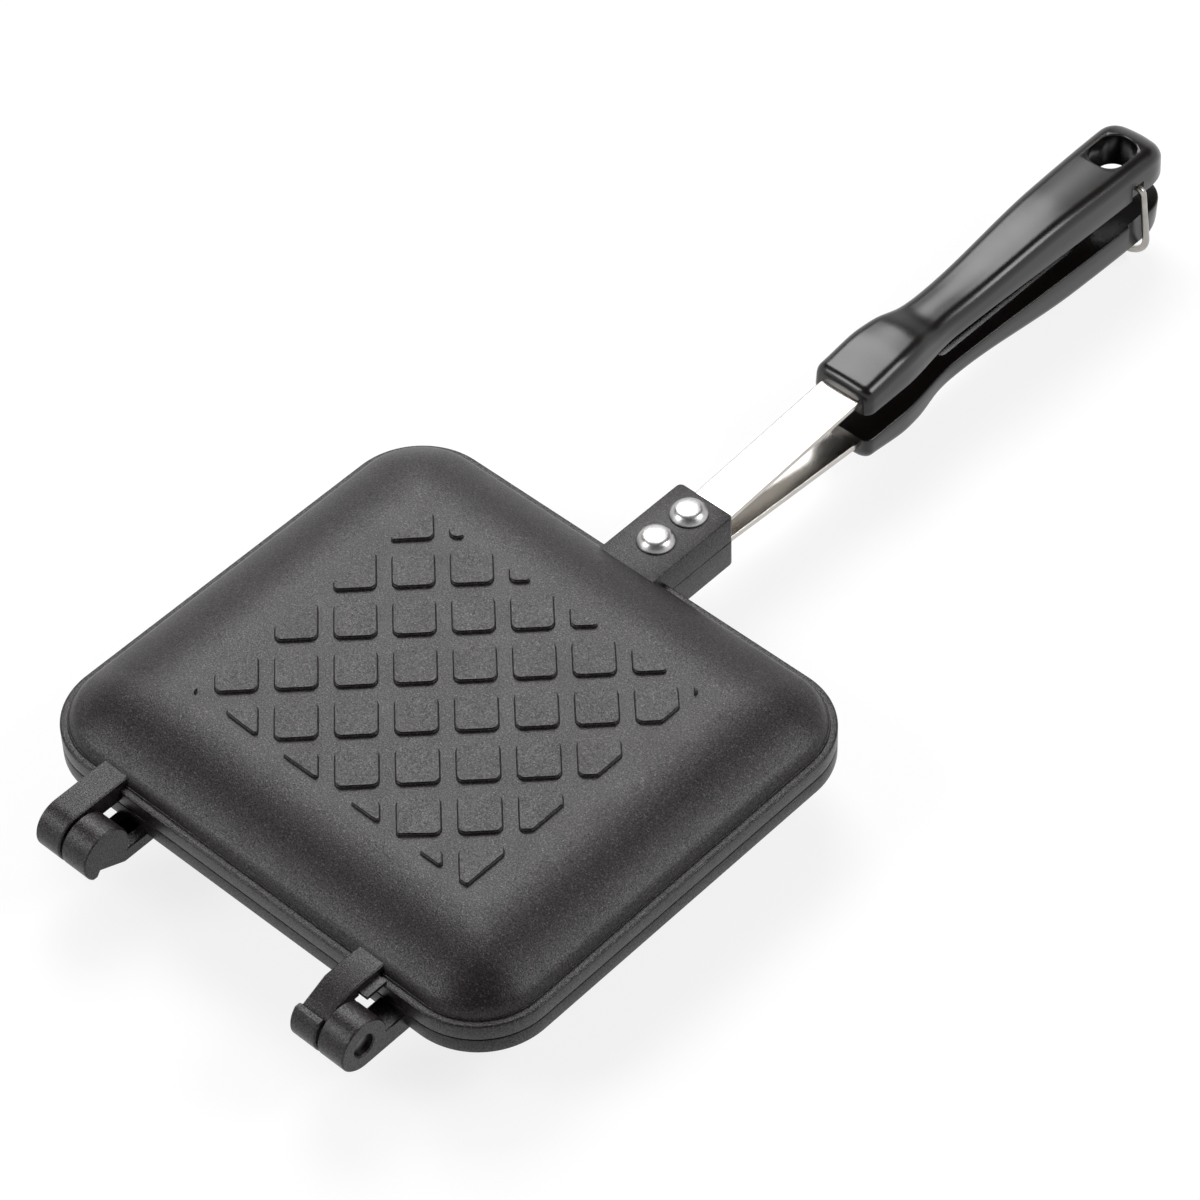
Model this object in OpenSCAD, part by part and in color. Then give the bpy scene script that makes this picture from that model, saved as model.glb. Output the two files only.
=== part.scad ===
// Hand-held pie iron: two hinged castings that close around a filled sandwich, each on a
// riveted steel strap with a moulded grip, held shut by a wire loop at the grips' ends.
// Frame: origin under the middle of the plates, on the pads' plane of the lower casting,
// +X along the hinge, +Y from the hinge towards the grips, +Z up. Millimetres.

/* [Plates] */
// Width of a plate along its hinge side
plate_w = 150; // [125:1:180]
// Depth of a plate from its hinge side to its strap side
plate_d = 134; // [110:1:160]
// Corner radius of a plate in plan
corner_r = 20; // [18:0.5:28]
// Height of the rim of one plate above the parting plane
rim_h = 4.7; // [3.5:0.1:6]
// Height of the flat back of one plate above the parting plane
dome_h = 14.5; // [12:0.1:18]
// Wall thickness of the domed back
wall = 3; // [2:0.1:3.6]
// Width of the ledge between the rim's edge and the domed back
ledge_w = 2.1; // [1.6:0.1:2.4]
// Height of the small step where the back starts on the ledge
ledge_step = 0.5; // [0.3:0.1:1]
// Distance from the rim's edge to where the flat back starts
crown_in = 25; // [24.5:0.1:25.5]
// Large radius between the shoulder and the flat back
crown_r = 37.5; // [37:0.1:38]
// Angle that the large radius turns through
crown_a = 33; // [32.5:0.1:33.5]
// Gap between the two rims when the iron is shut
parting_gap = 0.3; // [0.1:0.05:0.6]

/* [Pads on the back] */
// Height of a pad above the flat back
pad_h = 1; // [0.5:0.1:2]
// Side of a pad along the first diagonal
pad_u = 11.1; // [8:0.1:12.5]
// Side of a pad along the second diagonal
pad_v = 12.3; // [9:0.1:14]
// Groove between two pads along the first diagonal
pad_gap_u = 3; // [2:0.1:5]
// Groove between two pads along the second diagonal
pad_gap_v = 3.3; // [2:0.1:5]
// Corner radius of a pad
pad_r = 2.2; // [1:0.1:4]
// Half width of the rectangle that the pads fill
pad_field_x = 45; // [30:0.5:50]
// Half depth of the rectangle that the pads fill
pad_field_y = 39.9; // [25:0.5:43]
// Sideways place of the pad nearest the middle of the upper plate
pad_first_x = -11; // [-16:0.5:16]
// Lengthwise place of the pad nearest the middle of the plates
pad_first_y = 1.1; // [-8:0.1:8]
// Sliver at the field's long side that is left out, as its steps along both diagonals
pad_left_out = [4, 2];

/* [Hinge] */
// Distance from the plate's edge to the hinge axis
hinge_reach = 12.8; // [10.5:0.1:16]
// Radius of the hinge barrels and half thickness of the arms
barrel_r = 7.1; // [6:0.1:8]
// Width of one hinge arm along the axis
arm_w = 8; // [6:0.1:11]
// Gap between the two arms of a hinge station
arm_gap = 0.8; // [0.4:0.1:1.5]
// Distance of each hinge station's gap from the middle of the iron
station_x = 42; // [30:0.5:48]
// Height of the barrel arm's inner face above the parting plane
arm_under = 1.2; // [0.6:0.1:3]
// Height of the hook arm's inner face above the parting plane
hook_under = 3.3; // [2:0.1:4.5]
// Radius of a hinge pin
pin_r = 3; // [2.4:0.1:3.6]
// Radial running clearance of a pin in its hook
pin_clear = 0.06; // [0.02:0.01:0.1]
// Thickness of the closed end of a hook's bore
hook_cap = 1.2; // [1:0.1:2]
// Depth of a pin's outer end below the barrel's face
pin_recess = 1.5; // [0.5:0.1:2.5]
// Distance from the hinge axis to where the hook's slope starts
hook_slope_start = 4.8; // [3:0.1:6]
// Height of the hook's lip above the hinge axis
lip_h = 5.1; // [4.6:0.1:5.6]
// Thickness of the hook's lip at its top
lip_w = 1.4; // [1:0.1:1.8]
// Height of the notch behind the lip above the hinge axis
notch_h = 3.7; // [3.5:0.1:4.2]
// How far the hook's web reaches past the arm, towards its neighbour
web_reach = 2.7; // [2:0.1:3]
// Thickness of the hook's web
web_t = 1; // [0.8:0.1:2]

/* [Strap tab and rivets] */
// Length of the tab beyond the plate's edge
tab_len = 25.3; // [22:0.1:34]
// Width of the tab
tab_w = 17.7; // [15:0.1:22]
// Height of the tab above the parting plane
tab_h = 8.3; // [7.5:0.1:10]
// Corner radius at the tab's end
tab_r = 1.5; // [0.5:0.1:3]
// Distance from the plate's edge to the first rivet
rivet_first = 6.6; // [6:0.1:8]
// Distance between the two rivets
rivet_pitch = 12; // [11:0.1:14]
// Radius of a rivet's head
head_r = 5; // [4:0.1:5.4]
// Height of a rivet's head
head_h = 2.5; // [1.5:0.1:3.5]
// Radius of a rivet's shank
shank_r = 3; // [2:0.1:3.5]
// Radius of the rivet's closed end under the strap
tail_r = 4; // [3.6:0.1:5]
// Height of the rivet's closed end
tail_h = 1.1; // [0.6:0.1:1.4]

/* [Straps] */
// Width of a strap
strap_w = 12.3; // [10:0.1:13]
// Thickness of a strap
strap_t = 2; // [1.5:0.1:2.5]
// Height of a strap's outer face above the parting plane in the tab
strap_z = 4.7; // [4.4:0.1:5]
// Rise of a strap from the tab to the grip
strap_rise = 3.9; // [3:0.1:4.4]
// Side clearance of a strap in the tab's channel
channel_clear = 0.15; // [0.05:0.05:0.3]
// Distance from the plate's edge to the strap's hidden end
strap_start = 1.6; // [1:0.1:2]
// Length of a strap inside its grip
strap_in = 29; // [20:1:32]

/* [Grips] */
// Distance from the plate's edge to the front of the grips
grip_start = 75.6; // [70:0.5:90]
// Length of a grip
grip_len = 123.5; // [115:0.5:140]
// Half width of a grip at its front shoulder
front_w = 9.4; // [9:0.1:10.5]
// Half width of a grip at its waist
waist_w = 7.15; // [7:0.05:8.5]
// Half width of a grip at its end
end_w = 9.4; // [9:0.1:9.8]
// Height of a grip's inner face above the parting plane
grip_under = 4.4; // [3.5:0.1:5]
// Height of a grip's outer face at its front shoulder
front_h = 13.5; // [12.5:0.1:15]
// Height of a grip's outer face at its waist
waist_h = 12.5; // [12:0.1:14]
// Height of a grip's outer face along its rear half
rear_h = 15.2; // [14:0.1:15.4]
// Distance from the grip's front to its waist
waist_at = 37; // [32:1:45]
// Length of a grip's broad front before its sides draw in
shoulder_len = 14; // [10:0.5:18]
// Length of the rounding at a grip's front, seen from above
front_round = 4; // [2:0.5:6]
// Height that the outer face gains behind a grip's front
front_rise = 1.6; // [0.5:0.1:2.4]
// Length over which the outer face gains that height
front_run = 16; // [12:0.5:20]
// Distance from the grip's front to where the outer face starts to fall to the waist
fall_at = 22; // [18:0.5:26]
// Length of the waist's level stretch in front of its middle
waist_before = 2; // [0:0.5:4]
// Length of the waist's level stretch behind its middle
waist_after = 4; // [2:0.5:8]
// Length over which the outer face rises behind the waist
rear_run = 44; // [30:1:60]
// Radius of the rounded edges along a grip
grip_edge_r = 3.5; // [2:0.1:5]
// Length of the rounded end of a grip
grip_nose = 9.8; // [7:0.1:11]
// Depth of the hollow in a grip
hollow_h = 4.6; // [3:0.1:5.5]
// Half width of the hollow in a grip
hollow_w = 3.4; // [3:0.1:5.2]
// Length of solid grip left at both ends of the hollow
hollow_end = 4; // [3:0.1:5]
// Length of the hanging slot
slot_len = 13.2; // [8:0.1:14]
// Width of the hanging slot
slot_w = 10.4; // [6:0.1:10.8]
// Corner radius of the hanging slot
slot_r = 4.5; // [2:0.1:5]
// Distance from the grip's end to the middle of the hanging slot
slot_from_end = 14.7; // [13:0.1:18]

/* [Latch loop] */
// Radius of the loop's wire
wire_r = 0.95; // [0.7:0.05:1.2]
// Radial running clearance of the wire in its holes
wire_clear = 0.06; // [0.02:0.01:0.1]
// Distance from the grip's end to the loop's pivot
pivot_from_end = 14.9; // [13:0.1:18]
// Height of the loop's pivot above the parting plane
pivot_h = 7.9; // [6.5:0.1:9]
// Side gap between the loop's legs and the grip
leg_gap = 0.45; // [0.3:0.05:1]
// Depth that the wire's ends reach into the grip
wire_in = 2.4; // [1.5:0.1:2.8]
// Reach of the loop from its pivot to its far wire
loop_reach = 28.1; // [27.5:0.1:32]
// Radius of the loop's bends at its far wire
loop_bend = 9; // [4:0.1:9.5]
// Radius of the small bends next to the pivot
ear_bend = 1.5; // [1.3:0.1:2]
// Angle at which the loop hangs, from straight down
loop_hang = 9.5; // [0:0.5:20]
// Depth of the relief for the loop in the grips' sides
relief_d = 1.1; // [0.5:0.1:1.2]
// Length of the relief in the upper grip
relief_len = 4.6; // [4:0.1:6]
// Height of that relief's top above the loop's pivot
relief_top = 1; // [1:0.1:2]
// How far the holes run past the wire's ends
hole_past = 2; // [1:0.1:2.5]
// Length of the relief in the lower grip
notch_len = 8; // [6:0.1:10]
// Distance of its middle from the loop's pivot, towards the grip's end
notch_shift = 1.5; // [0.5:0.1:3]

/* [Hidden] */
$fn = 64;
e = 0.01;
coating = [0.22, 0.22, 0.23];
bright = [0.86, 0.86, 0.86];
phenolic = [0.08, 0.08, 0.08];
parting_z = dome_h + pad_h;          // height of the parting plane above the pads' plane
floor_z = parting_gap / 2;           // a casting starts this far from the parting plane
edge_y = plate_d / 2;
hinge_y = -edge_y - hinge_reach;
crown_z = dome_h - crown_r;
shoulder_in = crown_in - crown_r * sin(crown_a);     // where the shoulder meets the large radius
shoulder_top = crown_z + crown_r * cos(crown_a);
foot_z = rim_h + ledge_step;
foot_a = 2 * atan2(shoulder_top - foot_z, shoulder_in - ledge_w) - crown_a; // slope at the foot
shoulder_r = (shoulder_top - foot_z) / (cos(crown_a) - cos(foot_a));
pad_reach = (pad_u + pad_v) / 2 / sqrt(2) - pad_r * (sqrt(2) - 1);
rivet_ys = [edge_y + rivet_first, edge_y + rivet_first + rivet_pitch];
strap_y0 = edge_y + strap_start;
tab_y1 = edge_y + tab_len;
grip_y0 = edge_y + grip_start;
grip_y1 = grip_y0 + grip_len;
strap_y1 = grip_y0 + 3;              // the strap runs level from here into the grip
strap_y2 = strap_y1 + strap_in;
slot_y = grip_y1 - slot_from_end;
pivot_y = grip_y1 - pivot_from_end;
leg_x = end_w + leg_gap + wire_r;
nose_y = grip_y1 - grip_nose;
head_ball = (head_r * head_r + head_h * head_h) / (2 * head_h);

// ---- plan and profile shapes ----

module round_rect(w, d, r) {
  square([w - 2 * r, d], center = true);
  square([w, d - 2 * r], center = true);
  for (sx = [-1, 1], sy = [-1, 1]) translate([sx * (w / 2 - r), sy * (d / 2 - r)]) circle(r);
}

// Points of the large radius, moved in by inset, as distance past the corners' centres and height
function crown_points(inset, a0, a1, steps) = [for (k = [0:steps])
  [corner_r - crown_in + (crown_r - inset) * sin(a0 + (a1 - a0) * k / steps),
    crown_z + (crown_r - inset) * cos(a0 + (a1 - a0) * k / steps)]];

// Angle of the large radius over the corners' centres
function centre_a(inset) = asin((crown_in - corner_r) / (crown_r - inset));

// Cross-section of the domed back from the corner's centre outwards, moved in by inset
module back_profile(inset) {
  r = shoulder_r - inset;
  c = [corner_r - shoulder_in - shoulder_r * sin(crown_a), shoulder_top - shoulder_r * cos(crown_a)];
  polygon(concat([[0, 0], [c[0] + r * sin(foot_a), 0]],
    [for (k = [7:-1:1]) [c[0] + r * sin(crown_a + (foot_a - crown_a) * k / 7),
      c[1] + r * cos(crown_a + (foot_a - crown_a) * k / 7)]],
    crown_points(inset, crown_a, centre_a(inset), 6)));
}

// Cross-section of the middle of the domed back, between the corners' centres
module middle_profile(inset, half) {
  rise = crown_points(inset, centre_a(inset), 0, 2);
  polygon(concat([[-half, 0], [half, 0]],
    [for (k = [0:2]) [half + rise[k][0], rise[k][1]]],
    [for (k = [2:-1:0]) [-half - rise[k][0], rise[k][1]]]));
}

// The domed back as a solid: four turned corners, four straight sides and the middle
module domed_back(inset) {
  cx = plate_w / 2 - corner_r;
  cy = plate_d / 2 - corner_r;
  for (q = [[cx, cy, 0], [-cx, cy, 90], [-cx, -cy, 180], [cx, -cy, 270]])
    translate([q[0], q[1], 0]) rotate(q[2]) rotate_extrude(angle = 90, $fn = 96) back_profile(inset);
  for (s = [0, 180]) rotate(s) {
    translate([cx, cy, 0]) rotate([90, 0, 0]) linear_extrude(2 * cy) back_profile(inset);
    translate([-cx, cy, 0]) rotate(90) rotate([90, 0, 0]) linear_extrude(2 * cx) back_profile(inset);
  }
  intersection() {
    translate([0, cy, 0]) rotate([90, 0, 0]) linear_extrude(2 * cy) middle_profile(inset, cx);
    translate([-cx, 0, 0]) rotate([90, 0, 90]) linear_extrude(2 * cx) middle_profile(inset, cy);
  }
}

// One pad, lying diagonally
module pad() {
  rotate(45) linear_extrude(pad_h + 0.5) round_rect(pad_u, pad_v, pad_r);
}

// The field of pads on a flat back, cut to a rectangle
module pads() {
  pu = (pad_u + pad_gap_u) / sqrt(2);
  pv = (pad_v + pad_gap_v) / sqrt(2);
  intersection() {
    translate([-pad_field_x, -pad_field_y, dome_h - 0.5]) cube([2 * pad_field_x, 2 * pad_field_y, pad_h + 0.5]);
    for (i = [-8:8], j = [-8:8]) {
      x = pad_first_x + i * pu + j * pv;
      y = pad_first_y + i * pu - j * pv;
      if (abs(x) < pad_field_x + pad_reach - 1 && abs(y) < pad_field_y + pad_reach - 1 && [i, j] != pad_left_out)
        translate([x, y, dome_h - 0.5]) pad();
    }
  }
}

// ---- the casting, in the upper plate's place over its parting plane ----

// Arm with a full barrel, on the side of negative X
module barrel_arm() {
  x1 = -station_x - arm_gap / 2;
  difference() {
    union() {
      translate([x1 - arm_w, hinge_y, 0]) rotate([0, 90, 0]) cylinder(h = arm_w, r = barrel_r);
      translate([x1 - arm_w, hinge_y, arm_under])
        cube([arm_w, -edge_y + ledge_w + wall / 2 - hinge_y, barrel_r - arm_under]);
    }
    translate([x1 - arm_w - 1, hinge_y, 0]) rotate([0, 90, 0]) cylinder(h = arm_w + 2, r = pin_r);
  }
}

// Arm with a hook, on the side of positive X
module hook_arm() {
  x0 = station_x - arm_gap / 2 - arm_w;
  lip_y = sqrt(barrel_r * barrel_r - lip_h * lip_h);
  difference() {
    union() {
      translate([x0, hinge_y, 0]) rotate([0, 90, 0]) cylinder(h = arm_w, r = barrel_r);
      translate([x0, hinge_y, hook_under])
        cube([arm_w, -edge_y + ledge_w + wall / 2 - hinge_y, barrel_r - hook_under]);
      // the web's edge that reaches towards the neighbouring arm
      translate([x0, hinge_y + barrel_r + 0.4, hook_under + web_t])
        cube([arm_w + web_reach, -edge_y + ledge_w / 2 - hinge_y - barrel_r - 0.4, web_t]);
    }
    // slope, notch and lip on the outer side
    translate([x0 - 1, hinge_y, 0]) rotate([90, 0, 90]) linear_extrude(arm_w + 2)
      polygon([[hook_slope_start, barrel_r], [-lip_y + lip_w + 1, notch_h], [-lip_y + lip_w, lip_h],
        [-lip_y - 1, lip_h], [-lip_y - 1, barrel_r + 1], [hook_slope_start, barrel_r + 1]]);
    // shallow recess beside the rib, on the inner side
    translate([x0 + 3, hinge_y + barrel_r + 0.4, hook_under - 1])
      cube([arm_w - 3 + e, -edge_y - hinge_y - barrel_r - 0.4, 1 + web_t]);
    // bore, closed at the outer side
    translate([x0 + hook_cap, hinge_y, 0]) rotate([0, 90, 0])
      cylinder(h = arm_w - hook_cap + 1, r = pin_r + pin_clear);
  }
}

// Tab that takes the strap, without its channel and rivet holes
module tab() {
  y0 = edge_y - shoulder_in - 0.1;
  translate([-tab_w / 2, y0, 0]) cube([tab_w, tab_y1 - tab_r - y0, tab_h]);
  translate([-tab_w / 2 + tab_r, y0, 0]) cube([tab_w - 2 * tab_r, tab_y1 - y0, tab_h]);
  for (s = [-1, 1]) translate([s * (tab_w / 2 - tab_r), tab_y1 - tab_r, 0]) cylinder(h = tab_h, r = tab_r);
}

module casting() {
  channel_w = strap_w + 2 * channel_clear;
  difference() {
    union() {
      linear_extrude(rim_h) round_rect(plate_w, plate_d, corner_r);
      domed_back(0);
      pads();
      tab();
    }
    domed_back(wall);
    // channel for the strap, open at the parting plane and at the tab's end
    translate([-channel_w / 2, strap_y0, -1]) cube([channel_w, tab_len, strap_z + 1]);
    for (y = rivet_ys) translate([0, y, 0]) cylinder(h = tab_h + 1, r = shank_r);
    // clearance at the parting plane
    translate([-plate_w, -edge_y - 1, -1]) cube([2 * plate_w, plate_d + tab_len + 2, 1 + floor_z]);
  }
  barrel_arm();
  hook_arm();
}

// Pin in the upper casting's barrel, running in the lower casting's hook
module hinge_pin() {
  x0 = -station_x - arm_gap / 2 - arm_w + pin_recess;
  x1 = -station_x + arm_gap / 2 + arm_w - hook_cap - 0.4;
  translate([x0, hinge_y, 0]) rotate([0, 90, 0]) cylinder(h = x1 - x0, r = pin_r);
}

// ---- strap and rivets, in the upper place ----

module strap() {
  z0 = strap_z - strap_t;
  z1 = z0 + strap_rise;
  difference() {
    translate([-strap_w / 2, 0, 0]) rotate([90, 0, 90]) linear_extrude(strap_w)
      polygon([[strap_y0 + 0.2, z0], [tab_y1, z0], [strap_y1, z1], [strap_y2, z1],
        [strap_y2, z1 + strap_t], [strap_y1, z1 + strap_t], [tab_y1, strap_z], [strap_y0 + 0.2, strap_z]]);
    for (y = rivet_ys) translate([0, y, 0]) cylinder(h = strap_z + 1, r = shank_r);
  }
}

module rivet(y) {
  translate([0, y, 0]) {
    translate([0, 0, strap_z - strap_t - tail_h]) cylinder(h = tail_h, r = tail_r);
    translate([0, 0, strap_z - strap_t - e]) cylinder(h = tab_h - strap_z + strap_t + 2 * e, r = shank_r);
    intersection() {
      translate([0, 0, tab_h + head_h - head_ball]) sphere(r = head_ball);
      translate([0, 0, tab_h]) cylinder(h = head_h + 1, r = head_r);
    }
  }
}

// ---- grip, in the upper place ----

// Smooth step between 0 and 1
function ease(t) = let (c = max(0, min(1, t))) c * c * (3 - 2 * c);

// Share of the full section left at the rounded front and at the rounded end
function front_share(y) = let (s = max(0, 1 - (y - grip_y0) / front_round)) 0.82 + 0.18 * sqrt(1 - s * s);
function nose_share(y) = let (s = max(0, (y - nose_y) / grip_nose)) sqrt(max(0.02, 1 - s * s));
function grip_share(y) = front_share(y) * nose_share(y);

// Half width of the grip along its length
function grip_w(y) = let (
    d = y - grip_y0,
    a = ease((d - shoulder_len) / (waist_at - shoulder_len)),
    b = ease((d - waist_at) / (nose_y - grip_y0 - waist_at)))
  (front_w + (waist_w - front_w) * a + (end_w - waist_w) * pow(b, 0.8)) * grip_share(y);

// Height of the grip's outer face over its inner face along its length
function grip_h(y) = let (
    d = y - grip_y0,
    f = front_rise * (ease(d / front_run) - 1),
    a = ease((d - fall_at) / (waist_at - waist_before - fall_at)),
    b = ease((d - waist_at - waist_after) / rear_run))
  (front_h + f + (waist_h - front_h) * a + (rear_h - waist_h) * b - grip_under) * nose_share(y);

arc_n = 6;
// Closed section of the grip at one place, as points in X and Z
function grip_section(y) = let (
    w = grip_w(y),
    h = grip_h(y),
    r = min(grip_edge_r, 0.7 * w, 0.7 * h),
    c = min(0.5, w / 4),
    right = concat([[w - c, 0], [w, c]],
      [for (k = [0:arc_n]) [w - 0.2 - r + r * cos(90 * k / arc_n), h - r + r * sin(90 * k / arc_n)]]))
  concat(right, [[0, h + min(0.25, h / 20)]], [for (k = [len(right) - 1:-1:0]) [-right[k][0], right[k][1]]]);

grip_ys = concat([for (s = [0, 2, 5, 10, 20, 35, 50, 70]) grip_y0 + s / 70 * shoulder_len],
  [for (k = [1:25]) grip_y0 + shoulder_len + k * (nose_y - grip_y0 - shoulder_len) / 25],
  [for (a = [12:12:84]) nose_y + grip_nose * sin(a)], [grip_y1 - 0.02, grip_y1]);

module grip_shell() {
  n = 2 * (arc_n + 3) + 1;
  m = len(grip_ys);
  points = [for (y = grip_ys) for (p = grip_section(y)) [p[0], y, grip_under + p[1]]];
  sides = [for (i = [0:m - 2], k = [0:n - 1]) let (a = i * n + k, b = i * n + (k + 1) % n)
    each [[a, a + n, b + n], [a, b + n, b]]];
  caps = [[for (k = [0:n - 1]) k], [for (k = [n - 1:-1:0]) (m - 1) * n + k]];
  polyhedron(points, concat(sides, caps));
}

module grip() {
  z1 = strap_z - strap_t + strap_rise;
  hollow_y0 = strap_y2 + hollow_end;
  hollow_y1 = slot_y - slot_len / 2 - hollow_end;
  difference() {
    grip_shell();
    // socket that the strap's end fills
    translate([-strap_w / 2, grip_y0 - 1, z1]) cube([strap_w, strap_y2 - grip_y0 + 1, strap_t]);
    translate([-strap_w / 2, 0, 0]) rotate([90, 0, 90]) linear_extrude(strap_w)
      polygon([[tab_y1, strap_z - strap_t], [strap_y1, z1], [strap_y1, z1 + strap_t], [tab_y1, strap_z]]);
    // hollow on the inner side
    translate([0, (hollow_y0 + hollow_y1) / 2, grip_under - 1]) linear_extrude(hollow_h + 1)
      round_rect(2 * hollow_w, hollow_y1 - hollow_y0, 2);
  }
}

module hanging_slot() {
  translate([0, slot_y, 0]) linear_extrude(2 * rear_h) round_rect(slot_w, slot_len, slot_r);
}

// Holes and reliefs for the loop in the upper grip
module loop_seat() {
  for (s = [-1, 1]) {
    translate([s * (leg_x - ear_bend - wire_in / 2), pivot_y, pivot_h]) rotate([0, 90, 0])
      cylinder(h = 2 * (leg_x - ear_bend - end_w + hole_past) + wire_in, r = wire_r + wire_clear, center = true);
    translate([s * (end_w + 1), pivot_y, (pivot_h + relief_top + grip_under) / 2 - 1])
      cube([2 + 2 * relief_d, relief_len, pivot_h + relief_top - grip_under + 2], center = true);
  }
}

// Reliefs where the loop passes the lower grip, seen in the upper place
module loop_notch() {
  z_out = grip_under + rear_h;
  for (s = [-1, 1]) translate([s * (end_w + 1), pivot_y + notch_shift, z_out / 2])
    cube([2 + 2 * relief_d, notch_len, z_out + 2], center = true);
  translate([0, pivot_y + notch_shift, rear_h + 2 - relief_d]) cube([2 * end_w + 4, notch_len, 4], center = true);
}

// ---- the nodes ----

module in_upper_place() { translate([0, 0, parting_z]) children(); }
module in_lower_place() { translate([0, 0, parting_z]) rotate([0, 180, 0]) children(); }

module lower_casting() { color(coating) in_lower_place() casting(); }
module upper_casting() { color(coating) in_upper_place() casting(); }
module lower_hinge_pin() { color(bright) in_lower_place() hinge_pin(); }
module upper_hinge_pin() { color(bright) in_upper_place() hinge_pin(); }
module lower_strap() { color(bright) in_lower_place() strap(); }
module upper_strap() { color(bright) in_upper_place() strap(); }
module lower_rivet_plate_side() { color(bright) in_lower_place() rivet(rivet_ys[0]); }
module lower_rivet_grip_side() { color(bright) in_lower_place() rivet(rivet_ys[1]); }
module upper_rivet_plate_side() { color(bright) in_upper_place() rivet(rivet_ys[0]); }
module upper_rivet_grip_side() { color(bright) in_upper_place() rivet(rivet_ys[1]); }

module lower_grip() {
  color(phenolic) in_lower_place() difference() {
    grip();
    loop_notch();
  }
}

module upper_grip() {
  color(phenolic) in_upper_place() difference() {
    grip();
    hanging_slot();
    loop_seat();
  }
}

module latch_loop() {
  leg = loop_reach - loop_bend;
  stub = leg_x - ear_bend;
  color(bright) in_upper_place() translate([0, pivot_y, pivot_h]) rotate([loop_hang, 0, 0]) {
    for (s = [0, 180]) rotate(s) {
      // end that sits in the grip
      translate([stub - wire_in - (leg_x - ear_bend - end_w), 0, 0]) rotate([0, 90, 0])
        cylinder(h = wire_in + leg_x - ear_bend - end_w, r = wire_r);
      // small bend
      translate([stub, 0, -ear_bend]) rotate([90, 0, 0]) rotate_extrude(angle = 90)
        translate([ear_bend, 0]) circle(wire_r, $fn = 32);
      // leg
      translate([leg_x, 0, -leg]) cylinder(h = leg - ear_bend, r = wire_r);
      // large bend
      translate([leg_x - loop_bend, 0, -leg]) rotate([-90, 0, 0]) rotate_extrude(angle = 90)
        translate([loop_bend, 0]) circle(wire_r, $fn = 32);
    }
    // far wire
    translate([-(leg_x - loop_bend), 0, -loop_reach]) rotate([0, 90, 0])
      cylinder(h = 2 * (leg_x - loop_bend), r = wire_r);
  }
}

lower_casting();
upper_casting();
lower_hinge_pin();
upper_hinge_pin();
lower_strap();
upper_strap();
lower_rivet_plate_side();
lower_rivet_grip_side();
upper_rivet_plate_side();
upper_rivet_grip_side();
lower_grip();
upper_grip();
latch_loop();
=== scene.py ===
"""Scene of a hand-held pie iron: two hinged coated castings on riveted straps with moulded grips.

Shapes are written in millimetres over the parting plane, in the upper half's place. The lower half
is the same set of parts turned over about the long axis, so each class builds in the upper half's
place and settles its pieces into the place of each half.
"""

from __future__ import annotations

import logging
import math
from dataclasses import dataclass, field
from enum import Enum
from typing import Callable, Iterable, Sequence

import bmesh
import bpy
from mathutils import Matrix, Vector
from mathutils.geometry import tessellate_polygon

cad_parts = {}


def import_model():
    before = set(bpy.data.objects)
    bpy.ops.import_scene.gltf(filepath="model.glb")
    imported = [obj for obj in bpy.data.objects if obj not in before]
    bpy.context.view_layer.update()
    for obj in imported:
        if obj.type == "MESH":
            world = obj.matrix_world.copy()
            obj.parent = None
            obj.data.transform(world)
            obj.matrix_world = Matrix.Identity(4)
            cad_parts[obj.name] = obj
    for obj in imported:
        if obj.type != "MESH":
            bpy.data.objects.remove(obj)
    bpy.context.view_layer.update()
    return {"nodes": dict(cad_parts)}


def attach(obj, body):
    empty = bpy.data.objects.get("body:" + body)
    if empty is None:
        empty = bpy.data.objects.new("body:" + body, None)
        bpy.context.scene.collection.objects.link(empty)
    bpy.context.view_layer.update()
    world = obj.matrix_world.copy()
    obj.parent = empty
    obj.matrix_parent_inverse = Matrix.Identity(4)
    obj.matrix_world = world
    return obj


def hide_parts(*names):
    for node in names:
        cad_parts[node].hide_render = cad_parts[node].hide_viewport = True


LOG = logging.getLogger("pie_iron")
MM = 0.001
PARTING_Z = 15.5  # height of the parting plane over the lower casting's pads
PAST = 1.0  # how far a cutter or a joined solid reaches past a surface
MIX_A, MIX_B, MIXED = 6, 7, 2  # colour inputs and colour output of a Mix node

Object = bpy.types.Object
Material = bpy.types.Material
Node = bpy.types.Node
Tree = bpy.types.NodeTree
Socket = bpy.types.NodeSocket
Point = tuple[float, float, float]
Flat = tuple[float, float]
Rim = tuple[float, float, float, float]  # point of an outline with its outward direction
Feed = Socket | float | int | bool | Sequence[float] | str
Feeds = dict[str | int, Feed]


class Half(Enum):
    """The two halves of the iron, which are the same parts turned over."""

    UPPER = "upper"
    LOWER = "lower"

    @property
    def body(self) -> str:
        """Name of the moving body that this half's parts ride on."""
        return "lid" if self is Half.UPPER else "base"

    @property
    def place(self) -> Matrix:
        """Matrix from millimetres over the parting plane to metres in the row's frame."""
        turn = Matrix.Identity(4) if self is Half.UPPER else Matrix.Rotation(math.pi, 4, "Y")
        return Matrix.Translation((0, 0, PARTING_Z * MM)) @ turn @ Matrix.Scale(MM, 4)


# ---- node trees ----


def put(tree: Tree, kind: str, feeds: Feeds | None = None, **settings: object) -> Node:
    """Adds a node with its settings, values and links.

    Args:
        tree: Node tree that takes the node.
        kind: Type name of the node.
        feeds: Input name or number, with the socket to link or the value to set.
        settings: Properties of the node itself.

    Returns:
        The new node.
    """
    node = tree.nodes.new(kind)
    for name, value in settings.items():
        setattr(node, name, value)
    for key, value in (feeds or {}).items():
        if isinstance(value, Socket):
            tree.links.new(value, node.inputs[key])
        else:
            node.inputs[key].default_value = value
    return node


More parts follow.
